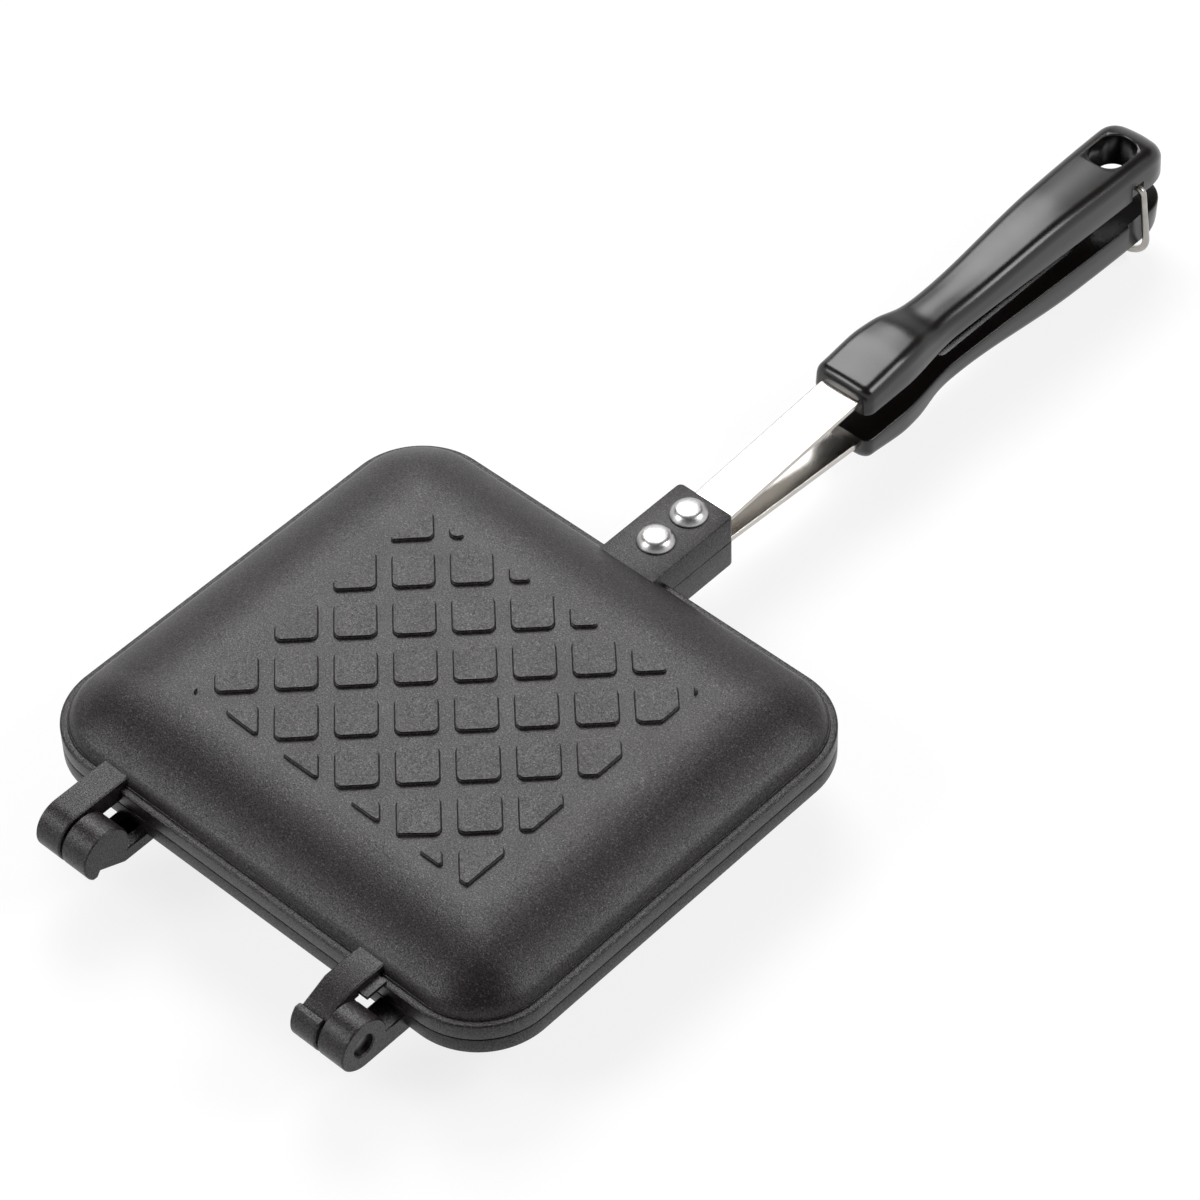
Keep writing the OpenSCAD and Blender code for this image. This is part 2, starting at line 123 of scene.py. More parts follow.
def empty_tree(owner: Material | bpy.types.World) -> Tree:
    """Switches a material or a world to nodes and clears them.

    Args:
        owner: Material or world.

    Returns:
        Its empty node tree.
    """
    owner.use_nodes = True
    owner.node_tree.nodes.clear()
    return owner.node_tree


def linear(hex_colour: str) -> tuple[float, float, float, float]:
    """Turns an sRGB hex colour into linear values.

    Args:
        hex_colour: Colour such as "#3a3a3c".

    Returns:
        Linear red, green and blue with an alpha of 1.
    """
    parts = [int(hex_colour[i : i + 2], 16) / 255 for i in (1, 3, 5)]
    r, g, b = (c / 12.92 if c <= 0.04045 else ((c + 0.055) / 1.055) ** 2.4 for c in parts)
    return (r, g, b, 1.0)


def pattern(where: Socket, size_mm: float, detail: float) -> Feeds:
    """Inputs of a texture over coordinates in metres that repeats about once in size_mm."""
    return {"Vector": where, "Scale": 1 / (size_mm * MM), "Detail": detail}


# ---- finishes ----


@dataclass(frozen=True)
class Finish:
    """A surface finish: colours, roughness and relief that follow patterns over the surface."""

    name: str
    slot: str
    low: str = "#808080"  # colour where the pattern is low
    high: str = "#808080"  # and where it is high
    smoothest: float = 0.3
    roughest: float = 0.4
    relief: float = 0.1  # strength of the bump, and its depth below
    relief_mm: float = 0.03

    def make(self) -> Material:
        """Builds the material.

        Returns:
            The material, whose shader takes the inputs that the finish works out.
        """
        material = bpy.data.materials.new(self.name)
        tree = empty_tree(material)
        where = put(tree, "ShaderNodeTexCoord").outputs["Object"]
        shader = put(tree, "ShaderNodeBsdfPrincipled", self.inputs(tree, where))
        put(tree, "ShaderNodeOutputMaterial", {"Surface": shader.outputs[0]})
        return material

    def inputs(self, tree: Tree, where: Socket) -> Feeds:
        """Inputs of the shader, from the material's tree and Object coordinates."""
        raise NotImplementedError

    def skin(self, tree: Tree, tint: Socket, wear: Socket, grain: Socket) -> Feeds:
        """Spreads the colours, the roughness and the relief over the surface.

        Args:
            tree: Node tree of the material.
            tint: Pattern that the colour follows.
            wear: Pattern that the roughness follows.
            grain: Pattern that the height follows.

        Returns:
            Colour, roughness and normal for the shader.
        """
        colours = {"Factor": tint, MIX_A: linear(self.low), MIX_B: linear(self.high)}
        colour = put(tree, "ShaderNodeMix", colours, data_type="RGBA")
        spread = {"Value": wear, "To Min": self.smoothest, "To Max": self.roughest}
        rough = put(tree, "ShaderNodeMapRange", spread)
        height = {"Height": grain, "Strength": self.relief, "Distance": self.relief_mm * MM}
        bump = put(tree, "ShaderNodeBump", height)
        return {"Base Color": colour.outputs[MIXED], "Roughness": rough.outputs[0], "Normal": bump.outputs[0]}


@dataclass(frozen=True)
class CoatedCasting(Finish):
    """Die-cast aluminium under a sprayed non-stick coat with metal flake.

    The coat is a dark warm grey. Its flakes show as fine light specks and it follows the grain of
    the casting, so highlights are broad and slightly grainy.
    """

    low: str = "#100e0f"
    high: str = "#231c1e"
    speck: str = "#5a5350"
    speck_over: float = 0.87  # flakes whose random value is over this one are seen
    speck_share: float = 0.6
    grain_mm: float = 0.3  # real flakes are about 0.1 mm, drawn coarser so that they show
    cloud_mm: float = 9.0
    smoothest: float = 0.29
    roughest: float = 0.41
    relief: float = 0.85
    relief_mm: float = 0.1
    dullest: float = 0.22
    glossiest: float = 0.78
    ior: float = 1.43  # between fluoropolymer and the resin that binds it

    def inputs(self, tree: Tree, where: Socket) -> Feeds:
        """Inputs of the shader: a coat whose colour and gloss follow its grain, with lit flakes."""
        flakes = put(tree, "ShaderNodeTexVoronoi", pattern(where, self.grain_mm, 0.0))
        fine = pattern(where, self.grain_mm * 1.3, 3.0) | {"Roughness": 0.7}
        grain = put(tree, "ShaderNodeTexNoise", fine).outputs[0]
        cloud = put(tree, "ShaderNodeTexNoise", pattern(where, self.cloud_mm, 2.0))
        tone = put(tree, "ShaderNodeMapRange", {"Value": grain, "From Min": 0.3, "From Max": 0.7})
        coat = self.skin(tree, tone.outputs[0], cloud.outputs[0], grain)
        hue = put(tree, "ShaderNodeSeparateColor", {"Color": flakes.outputs["Color"]})
        few = {"Value": hue.outputs[0], "From Min": self.speck_over, "To Max": self.speck_share}
        lit = put(tree, "ShaderNodeMapRange", few)
        flecked = {"Factor": lit.outputs[0], MIX_A: coat["Base Color"], MIX_B: linear(self.speck)}
        colour = put(tree, "ShaderNodeMix", flecked, data_type="RGBA")
        shine = {"From Min": 0.35, "From Max": 0.65, "To Min": self.dullest, "To Max": self.glossiest}
        gloss = put(tree, "ShaderNodeMapRange", {"Value": grain} | shine).outputs[0]
        return coat | {"IOR": self.ior, "Base Color": colour.outputs[MIXED], "Specular IOR Level": gloss}


@dataclass(frozen=True)
class RolledSteel(Finish):
    """Stainless strip, cold rolled and lightly brushed along its length.

    It is bright and nearly neutral, and fine lines along the strip draw its reflections out.
    """

    low: str = "#cfccc8"
    high: str = "#b4afa8"
    line_mm: float = 0.25
    smear_mm: float = 14.0
    smoothest: float = 0.14
    roughest: float = 0.3
    relief: float = 0.12
    along: Point = (1.0, 0.02, 1.0)

    def inputs(self, tree: Tree, where: Socket) -> Feeds:
        """Inputs of the shader: metal with drawn lines and a smeared tint."""
        drawn = put(tree, "ShaderNodeMapping", {"Vector": where, "Scale": self.along}).outputs[0]
        lines = put(tree, "ShaderNodeTexNoise", pattern(drawn, self.line_mm, 4.0))
        smear = put(tree, "ShaderNodeTexNoise", pattern(where, self.smear_mm, 3.0))
        return self.skin(tree, smear.outputs[0], lines.outputs[0], lines.outputs[0]) | {"Metallic": 1.0}


@dataclass(frozen=True)
class TumbledAlloy(Finish):
    """Aluminium rivet head, pressed by the setting tool and tumbled.

    It has a pale satin skin with small dents.
    """

    low: str = "#a6a5a5"
    high: str = "#c4c3c2"
    dent_mm: float = 0.6
    smoothest: float = 0.25
    roughest: float = 0.42
    relief: float = 0.25
    relief_mm: float = 0.05

    def inputs(self, tree: Tree, where: Socket) -> Feeds:
        """Inputs of the shader: metal with dents."""
        dents = put(tree, "ShaderNodeTexNoise", pattern(where, self.dent_mm, 3.0)).outputs[0]
        return self.skin(tree, dents, dents, dents) | {"Metallic": 1.0}


@dataclass(frozen=True)
class MouldedPhenolic(Finish):
    """Phenolic resin, compression moulded and left as it came from the tool.

    It is nearly black with a satin skin, a faint mottle from the filler and soft broad highlights.
    """

    low: str = "#0b0908"
    high: str = "#15110f"
    mottle_mm: float = 0.5
    flow_mm: float = 12.0
    smoothest: float = 0.2
    roughest: float = 0.31
    relief: float = 0.12
    relief_mm: float = 0.04
    ior: float = 1.5

    def inputs(self, tree: Tree, where: Socket) -> Feeds:
        """Inputs of the shader: mottled resin, duller where it flowed together."""
        fine = pattern(where, self.mottle_mm, 3.0) | {"Roughness": 0.6}
        mottle = put(tree, "ShaderNodeTexNoise", fine).outputs[0]
        flow = put(tree, "ShaderNodeTexNoise", pattern(where, self.flow_mm, 2.0))
        return self.skin(tree, mottle, flow.outputs[0], mottle) | {"IOR": self.ior}


@dataclass(frozen=True)
class DrawnWire(Finish):
    """Steel wire, drawn through a die and bent.

    It is a mid grey metal with faint scratches and duller patches at the bends.
    """

    low: str = "#b9b6b1"
    high: str = "#8f8b86"
    patch_mm: float = 4.0
    scratch_mm: float = 0.35
    smoothest: float = 0.22
    relief: float = 0.15

    def inputs(self, tree: Tree, where: Socket) -> Feeds:
        """Inputs of the shader: metal with dull patches and scratches."""
        patch = put(tree, "ShaderNodeTexNoise", pattern(where, self.patch_mm, 3.0))
        fine = put(tree, "ShaderNodeTexNoise", pattern(where, self.scratch_mm, 2.0))
        return self.skin(tree, patch.outputs[0], patch.outputs[0], fine.outputs[0]) | {"Metallic": 1.0}


# ---- meshes ----


def added(name: str, data: bpy.types.ID) -> Object:
    """Makes an object of some data.

    Args:
        name: Name of the object.
        data: Its mesh, lamp or camera.

    Returns:
        The object, linked to the scene.
    """
    made = bpy.data.objects.new(name, data)
    bpy.context.scene.collection.objects.link(made)
    return made


class Shell:
    """Points and faces of closed surfaces, in millimetres in the upper half's place."""

    def __init__(self, rings: Iterable[Iterable[Point]] = ()) -> None:
        """Skins rings in order and caps both ends.

        Args:
            rings: Closed rings of as many points each, if any.
        """
        self.points: list[Point] = []
        self.faces: list[list[int]] = []
        made = [self.ring(points) for points in rings]
        for a, b in zip(made, made[1:]):
            self.bridge(a, b)
        if made:
            self.faces += [made[0][::-1], made[-1]]

    def ring(self, points: Iterable[Point]) -> list[int]:
        """Adds points.

        Args:
            points: Points of a ring.

        Returns:
            Their numbers.
        """
        first = len(self.points)
        self.points.extend(points)
        return list(range(first, len(self.points)))

    def bridge(self, a: Sequence[int], b: Sequence[int]) -> None:
        """Joins two closed rings of as many points with quads."""
        n = len(a)
        self.faces.extend([a[i], a[(i + 1) % n], b[(i + 1) % n], b[i]] for i in range(n))

    def object(self, name: str) -> Object:
        """Makes an object of the points and faces.

        Args:
            name: Name of the object.

        Returns:
            The object, with its faces turned outwards.
        """
        mesh = bpy.data.meshes.new(name)
        mesh.from_pydata(self.points, [], self.faces)
        face_out(mesh)
        return added(name, mesh)


def face_out(mesh: bpy.types.Mesh, merge: float = 1e-5) -> None:
    """Merges double points of a mesh and turns its faces outwards.

    Args:
        mesh: Mesh to mend.
        merge: Points closer than this become one.
    """
    work = bmesh.new()
    work.from_mesh(mesh)
    bmesh.ops.remove_doubles(work, verts=work.verts, dist=merge)
    bmesh.ops.dissolve_degenerate(work, edges=work.edges, dist=merge)
    bmesh.ops.recalc_face_normals(work, faces=work.faces)
    work.to_mesh(mesh)
    work.free()


def bake(made: Object) -> None:
    """Turns an object's modifiers into plain mesh and removes them.

    Args:
        made: Object with modifiers.
    """
    bpy.context.view_layer.update()
    mesh = bpy.data.meshes.new_from_object(made.evaluated_get(bpy.context.evaluated_depsgraph_get()))
    made.modifiers.clear()
    old, made.data = made.data, mesh
    bpy.data.meshes.remove(old)


def carve(made: Object, cutters: Sequence[Object]) -> None:
    """Takes shapes out of an object.

    Args:
        made: Object to cut.
        cutters: Shapes to take out, which are then removed.
    """
    for cutter in cutters:
        cut = made.modifiers.new("cut", "BOOLEAN")
        cut.operation, cut.solver, cut.object = "DIFFERENCE", "EXACT", cutter
    bake(made)
    for cutter in cutters:
        bpy.data.objects.remove(cutter)


def join(made: Object, others: Sequence[Object]) -> None:
    """Adds the meshes of other objects to an object.

    Args:
        made: Object that takes them.
        others: Objects that give their meshes and are then removed.
    """
    work = bmesh.new()
    for piece in (made, *others):
        work.from_mesh(piece.data)
    work.to_mesh(made.data)
    work.free()
    for piece in others:
        bpy.data.objects.remove(piece)


def settle(
    made: Object,
    half: Half,
    material: Material,
    slot: str,
    nodes: Sequence[str],
    body: str | None = None,
    smooth_deg: float = 35.0,
) -> None:
    """Places a finished piece, smooths it, dresses it and hands it to the frame.

    Args:
        made: Object in millimetres in the upper half's place.
        half: Half whose place it takes.
        material: Finish of the piece.
        slot: Slot of the record that the finish stands for; not used.
        nodes: Solid nodes that the piece stands for.
        body: Body it rides on, if not the half's own.
        smooth_deg: Edges sharper than this stay sharp.
    """
    made.data.transform(half.place)
    made.data.polygons.foreach_set("use_smooth", [True] * len(made.data.polygons))
    made.data.set_sharp_from_angle(angle=math.radians(smooth_deg))
    made.data.materials.clear()
    made.data.materials.append(material)
    made.data.update()
    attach(made, body or half.body)
    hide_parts(*nodes)
    LOG.info("%s: %d faces on %s", made.name, len(made.data.polygons), body or half.body)


def arc(centre: Flat, radius: float, start: float, end: float, steps: int) -> list[Flat]:
    """Points along an arc, both ends included, with angles in degrees."""
    turns = (math.radians(start + (end - start) * k / steps) for k in range(steps + 1))
    return [(centre[0] + radius * math.cos(t), centre[1] + radius * math.sin(t)) for t in turns]


def circle(radius: float, steps: int) -> list[Flat]:
    """Counter-clockwise points of a circle about the origin."""
    return arc((0, 0), radius, 0, 360 - 360 / steps, steps - 1)


def round_rect(width: float, depth: float, radius: float, steps: int = 8) -> list[Flat]:
    """Outline of a rectangle about the origin with rounded corners.

    Args:
        width: Full size across.
        depth: Full size along.
        radius: Radius of the corners.
        steps: Steps in each corner.

    Returns:
        Counter-clockwise points.
    """
    cx, cy = width / 2 - radius, depth / 2 - radius
    corners = ((cx, cy, 0), (-cx, cy, 90), (-cx, -cy, 180), (cx, -cy, 270))
    return [p for x, y, a in corners for p in arc((x, y), radius, a, a + 90, steps)]


def grown(outline: Sequence[Flat], by: float) -> list[Flat]:
    """Moves a counter-clockwise outline outwards, with mitred corners.

    Args:
        outline: Outline to move.
        by: Distance to move it.

    Returns:
        The moved outline.
    """
    out = []
    for i, (x, y) in enumerate(outline):
        before, after = outline[i - 1], outline[(i + 1) % len(outline)]
        a = Vector((y - before[1], before[0] - x)).normalized()
        b = Vector((after[1] - y, x - after[0])).normalized()
        m = (a + b) * (by / max(0.3, 1 + a.dot(b)))
        out.append((x + m.x, y + m.y))
    return out


def block(name: str, x: Flat, y: Flat, z: Flat, radius: float = 0.0) -> Object:
    """Block between two places along each axis.

    Args:
        name: Name of the object.
        x: Its ends across the iron.
        y: Its ends along the iron.
        z: Its ends in height.
        radius: Rounding of its upright edges.

    Returns:
        The block.
    """
    outline = [(x[0], y[0]), (x[1], y[0]), (x[1], y[1]), (x[0], y[1])]
    if radius:
        rounded = round_rect(x[1] - x[0], y[1] - y[0], radius, 5)
        outline = [(u + (x[0] + x[1]) / 2, v + (y[0] + y[1]) / 2) for u, v in rounded]
    return Shell([(u, v, h) for u, v in outline] for h in z).object(name)


def prism(
    outline: Sequence[Flat],
    start: float,
    end: float,
    edge: float,
    lift: Callable[[Flat, float], Point],
    hole: Sequence[Flat] = (),
) -> Shell:
    """Solid of one outline between two planes, with its end edges broken.

    Args:
        outline: Counter-clockwise outline.
        start: Place of the first plane.
        end: Place of the last plane.
        edge: Width of the small chamfer at both ends.
        lift: Gives a point in space for a point of the outline and a place along the solid.
        hole: Counter-clockwise outline of a hole through it.

    Returns:
        The solid.
    """
    shell = Shell()
    steps = [(start, 1.0), (start + edge, 0.0), (end - edge, 0.0), (end, 1.0)]
    rims = []
    for line, sign in ((outline, -1), (hole, 1)):
        if line:
            made = [shell.ring(lift(p, at) for p in grown(line, sign * edge * k)) for at, k in steps]
            for a, b in zip(made, made[1:]):
                shell.bridge(a, b)
            rims.append((made[0], made[-1]))
    for side in (0, 1):
        loops = [[Vector(shell.points[i]) for i in rim[side]] for rim in rims]
        numbers = [i for rim in rims for i in rim[side]]
        shell.faces += [[numbers[i] for i in face] for face in tessellate_polygon(loops)]
    return shell


def sweep(path: Sequence[Vector], section: Sequence[Flat], side: Vector) -> Shell:
    """Closed solid of one section along a path.

    Args:
        path: Points of the path.
        section: Closed section: first value along side, second along the path's normal.
        side: Direction that stays level with the path.

    Returns:
        The solid, capped at both ends.
    """
    rings = []
    for i, here in enumerate(path):
        ahead = path[min(i + 1, len(path) - 1)] - path[max(i - 1, 0)]
        up = side.cross(ahead).normalized()
        rings.append([tuple(here + side * u + up * v) for u, v in section])
    return Shell(rings)


def rounded_path(corners: Sequence[Vector], radii: Sequence[float], steps: int = 10) -> list[Vector]:
    """Path through corners, each of them rounded by its radius.

    Args:
        corners: End points and corners.
        radii: Bend radius at each inner corner.
        steps: Steps in each bend.

    Returns:
        Points of the path.
    """
    path = [corners[0]]
    for k, radius in enumerate(radii, start=1):
        a = (corners[k - 1] - corners[k]).normalized()
        b = (corners[k + 1] - corners[k]).normalized()
        half = a.angle(b) / 2
        reach = radius / math.tan(half)
        centre = corners[k] + (a + b).normalized() * (radius / math.sin(half))
        u, v = ((corners[k] + way * reach - centre).normalized() for way in (a, b))
        path += [centre + u.slerp(v, s / steps) * radius for s in range(steps + 1)]
    return path + [corners[-1]]


# ---- repeated shapes ----


def new_tree(name: str, sizes: dict[str, float | int]) -> tuple[Tree, Node]:
    """Starts a geometry tree with a mesh input, named sizes and a finish.

    Args:
        name: Name of the tree.
        sizes: Name and usual value of each size.

    Returns:
        The tree and its group input node.
    """
    tree = bpy.data.node_groups.new(name, "GeometryNodeTree")
    face = tree.interface
    face.new_socket("Mesh", in_out="INPUT", socket_type="NodeSocketGeometry")
    for label, value in sizes.items():
        kind = "NodeSocketInt" if isinstance(value, int) else "NodeSocketFloat"
        face.new_socket(label, in_out="INPUT", socket_type=kind).default_value = value
    face.new_socket("Finish", in_out="INPUT", socket_type="NodeSocketMaterial")
    face.new_socket("Mesh", in_out="OUTPUT", socket_type="NodeSocketGeometry")
    return tree, put(tree, "NodeGroupInput")


def end_tree(tree: Tree, mesh: Socket, given: Node) -> None:
    """Ends a geometry tree in Realize Instances and Set Material.

    Args:
        tree: Geometry tree.
        mesh: Geometry that it has made.
        given: Group input node, which holds the finish.
    """
    real = put(tree, "GeometryNodeRealizeInstances", {"Geometry": mesh})
    coat = {"Geometry": real.outputs[0], "Material": given.outputs["Finish"]}
    dressed = put(tree, "GeometryNodeSetMaterial", coat)
    put(tree, "NodeGroupOutput", {0: dressed.outputs[0]})


def grow(made: Object, tree: Tree, values: dict[str, object]) -> None:
    """Runs a geometry tree on an object and keeps the plain mesh.

    Args:
        made: Object that the tree works on.
        tree: Geometry tree.
        values: Name and value of each input.
    """
    step = made.modifiers.new(tree.name, "NODES")
    step.node_group = tree
    for item in tree.interface.items_tree:
        if item.item_type == "SOCKET" and item.in_out == "INPUT" and item.name in values:
            step[item.identifier] = values[item.name]
    bake(made)


def pad_tree(steps: int = 4) -> Tree:
    """Tree that raises flat outlines into pads with a hollow foot and a rounded top edge.

    Args:
        steps: Steps in each rounding.

    Returns:
        The tree, which reads each point's outward direction from the attribute "out".
    """
    tree, given = new_tree("raised_pads", {"Height": 1.0, "Edge": 0.3, "Foot": 0.3, "Sink": 0.3})
    out = put(tree, "GeometryNodeInputNamedAttribute", {"Name": "out"}, data_type="FLOAT_VECTOR").outputs[0]

    def total(shares: dict[str, float]) -> Socket:
        """Sum of the named sizes times their shares."""
        value: Feed = 0.0
        for size, share in shares.items():
            term = {0: given.outputs[size], 1: share, 2: value}
            value = put(tree, "ShaderNodeMath", term, operation="MULTIPLY_ADD").outputs[0]
        return value

    quarter = [math.radians(90 * k / steps) for k in range(steps + 1)]
    # each ring: share of the foot and of the edge outwards, then of foot, edge and height upwards
    rings = [(1 - math.sin(a), 0.0, 1 - math.cos(a), 0.0, 0.0) for a in quarter]
    rings += [(0.0, math.cos(a) - 1, 0.0, math.sin(a) - 1, 1.0) for a in quarter]
    mesh = given.outputs["Mesh"]
    before = (1.0, 0.0, 0.0, 0.0, 0.0)
    for number, ring in enumerate(rings):
        change = [b - a for a, b in zip(before, ring)]
        along = total({"Foot": change[0], "Edge": change[1]})
        up = total({"Foot": change[2], "Edge": change[3], "Height": change[4], "Sink": float(number == 0)})
        raised = put(tree, "ShaderNodeCombineXYZ", {"Z": up})
        way = {0: out, 1: along, 2: raised.outputs[0]}
        shift = put(tree, "ShaderNodeVectorMath", way, operation="MULTIPLY_ADD")
        pull = {"Mesh": mesh, "Offset Scale": 0.0, "Individual": False}
        top = put(tree, "GeometryNodeExtrudeMesh", pull).outputs
        move = {"Geometry": top["Mesh"], "Selection": top["Top"], "Offset": shift.outputs[0]}
        mesh = put(tree, "GeometryNodeSetPosition", move).outputs[0]
        before = ring
    under = put(tree, "GeometryNodeFlipFaces", {"Mesh": given.outputs["Mesh"]})
    both = put(tree, "GeometryNodeJoinGeometry")
    tree.links.new(under.outputs[0], both.inputs[0])
    tree.links.new(mesh, both.inputs[0])
    end_tree(tree, both.outputs[0], given)
    return tree


def row_tree() -> Tree:
    """Tree that sets copies of a mesh in a row along the iron.

    Returns:
        The tree.
    """
    tree, given = new_tree("rivet_row", {"Count": 2, "First": 0.0, "Pitch": 10.0, "Seat": 0.0})
    start = put(tree, "ShaderNodeCombineXYZ", {"Y": given.outputs["First"], "Z": given.outputs["Seat"]})
    step = put(tree, "ShaderNodeCombineXYZ", {"Y": given.outputs["Pitch"]})
    line = {"Count": given.outputs["Count"], "Start Location": start.outputs[0], "Offset": step.outputs[0]}
    row = put(tree, "GeometryNodeMeshLine", line)
    one = {"Points": row.outputs[0], "Instance": given.outputs["Mesh"]}
    end_tree(tree, put(tree, "GeometryNodeInstanceOnPoints", one).outputs[0], given)
    return tree


# ---- the castings ----


@dataclass
class Pads:
    """Diagonal field of raised pads on a plate's flat back."""

    height: float = 1.0
    side_u: float = 11.1  # u and v are the two diagonals of the plate
    side_v: float = 12.3
    gap_u: float = 3.0
    gap_v: float = 3.3
    corner: float = 2.2
    cut_corner: float = 1.1
    corner_share: float = 0.46  # of the shorter side, at most
    least_side: float = 1.2
    least_show: float = 1.0  # a pad that reaches less into the field is left out
    field_x: float = 45.0
    field_y: float = 39.9
    first_x: float = -11.0
    first_y: float = 1.1
    left_out: tuple[int, int] = (4, 2)
    span: int = 8  # pads tried on each side of the first
    edge: float = 0.65
    foot: float = 0.3
    sink: float = 0.3

    def cut_to_field(self, outline: list[Flat]) -> list[Flat]:
        """Cuts a convex outline to the field's rectangle.

        Args:
            outline: Counter-clockwise corners.

        Returns:
            The corners inside the field, without those at very short sides.
        """
        for axis, limit in ((0, self.field_x), (1, self.field_y)):
            for sign in (1, -1):
                kept: list[Flat] = []
                for a, b in zip(outline, outline[1:] + outline[:1]):
                    da, db = limit - sign * a[axis], limit - sign * b[axis]
                    if da >= 0:
                        kept.append(a)
                    if da * db < 0:
                        t = da / (da - db)
                        kept.append((a[0] + (b[0] - a[0]) * t, a[1] + (b[1] - a[1]) * t))
                outline = kept
        return [p for k, p in enumerate(outline) if math.dist(p, outline[k - 1]) > self.least_side]

    def rounded(self, outline: list[Flat], steps: int = 6) -> list[Rim]:
        """Rounds the corners of a convex outline.

        Args:
            outline: Counter-clockwise corners.
            steps: Steps in each corner.

        Returns:
            Points of the outline, each with its outward direction.
        """
        made = []
        for i, corner in enumerate(outline):
            here = Vector(corner)
            back = Vector(outline[i - 1]) - here
            ahead = Vector(outline[(i + 1) % len(outline)]) - here
            half = back.angle(ahead) / 2
            limits = (self.field_x, self.field_y)
            cut = any(abs(abs(c) - limit) < 1e-6 for c, limit in zip(corner, limits))
            largest = self.corner_share * min(back.length, ahead.length) * math.tan(half)
            radius = min(self.cut_corner if cut else self.corner, largest)
            centre = here + (back.normalized() + ahead.normalized()).normalized() * (radius / math.sin(half))
            start, end = Vector((back.y, -back.x)).normalized(), Vector((-ahead.y, ahead.x)).normalized()
            if start.dot(here - centre) < 0:
                start, end = -start, -end
            for k in range(steps + 1):
                way = start.slerp(end, k / steps)
                made.append((centre.x + way.x * radius, centre.y + way.y * radius, way.x, way.y))
        return made

    def outlines(self) -> list[list[Rim]]:
        """Works out the rounded outline of every pad in the field.

        Returns:
            An outline for each pad.
        """
        u, v = Vector((1, 1)).normalized(), Vector((-1, 1)).normalized()
        half = (self.side_u + self.side_v) / 2 / math.sqrt(2) - self.corner * (math.sqrt(2) - 1)
        far_x, far_y = (at + half - self.least_show for at in (self.field_x, self.field_y))
        numbers = range(-self.span, self.span + 1)
        made = []
        for i, j in ((i, j) for i in numbers for j in numbers):
            steps = u * i * (self.side_u + self.gap_u) - v * j * (self.side_v + self.gap_v)
            centre = Vector((self.first_x, self.first_y)) + steps
            if abs(centre.x) < far_x and abs(centre.y) < far_y and (i, j) != self.left_out:
                ways = ((1, -1), (1, 1), (-1, 1), (-1, -1))
                corners = [centre + u * (a * self.side_u / 2) + v * (b * self.side_v / 2) for a, b in ways]
                made.append(self.rounded(self.cut_to_field([tuple(c) for c in corners])))
        return made

    def build(self, back_z: float, material: Material) -> Object:
        """Builds the field of pads.

        Args:
            back_z: Height of the plate's back.
            material: Finish of the pads.

        Returns:
            All pads as one object.
        """
        shell, ways = Shell(), []
        for outline in self.outlines():
            base = ((x + nx * self.foot, y + ny * self.foot, back_z - self.sink) for x, y, nx, ny in outline)
            shell.faces.append(shell.ring(base))
            ways += [c for _, _, nx, ny in outline for c in (nx, ny, 0.0)]
        mesh = bpy.data.meshes.new("pads")
        mesh.from_pydata(shell.points, [], shell.faces)
        mesh.attributes.new("out", "FLOAT_VECTOR", "POINT").data.foreach_set("vector", ways)
        made = added("pads", mesh)
        sizes = {"Height": self.height, "Edge": self.edge, "Foot": self.foot, "Sink": self.sink}
        grow(made, pad_tree(), sizes | {"Finish": material})
        made.data.attributes.remove(made.data.attributes["out"])
        face_out(made.data, 1e-4)
        return made


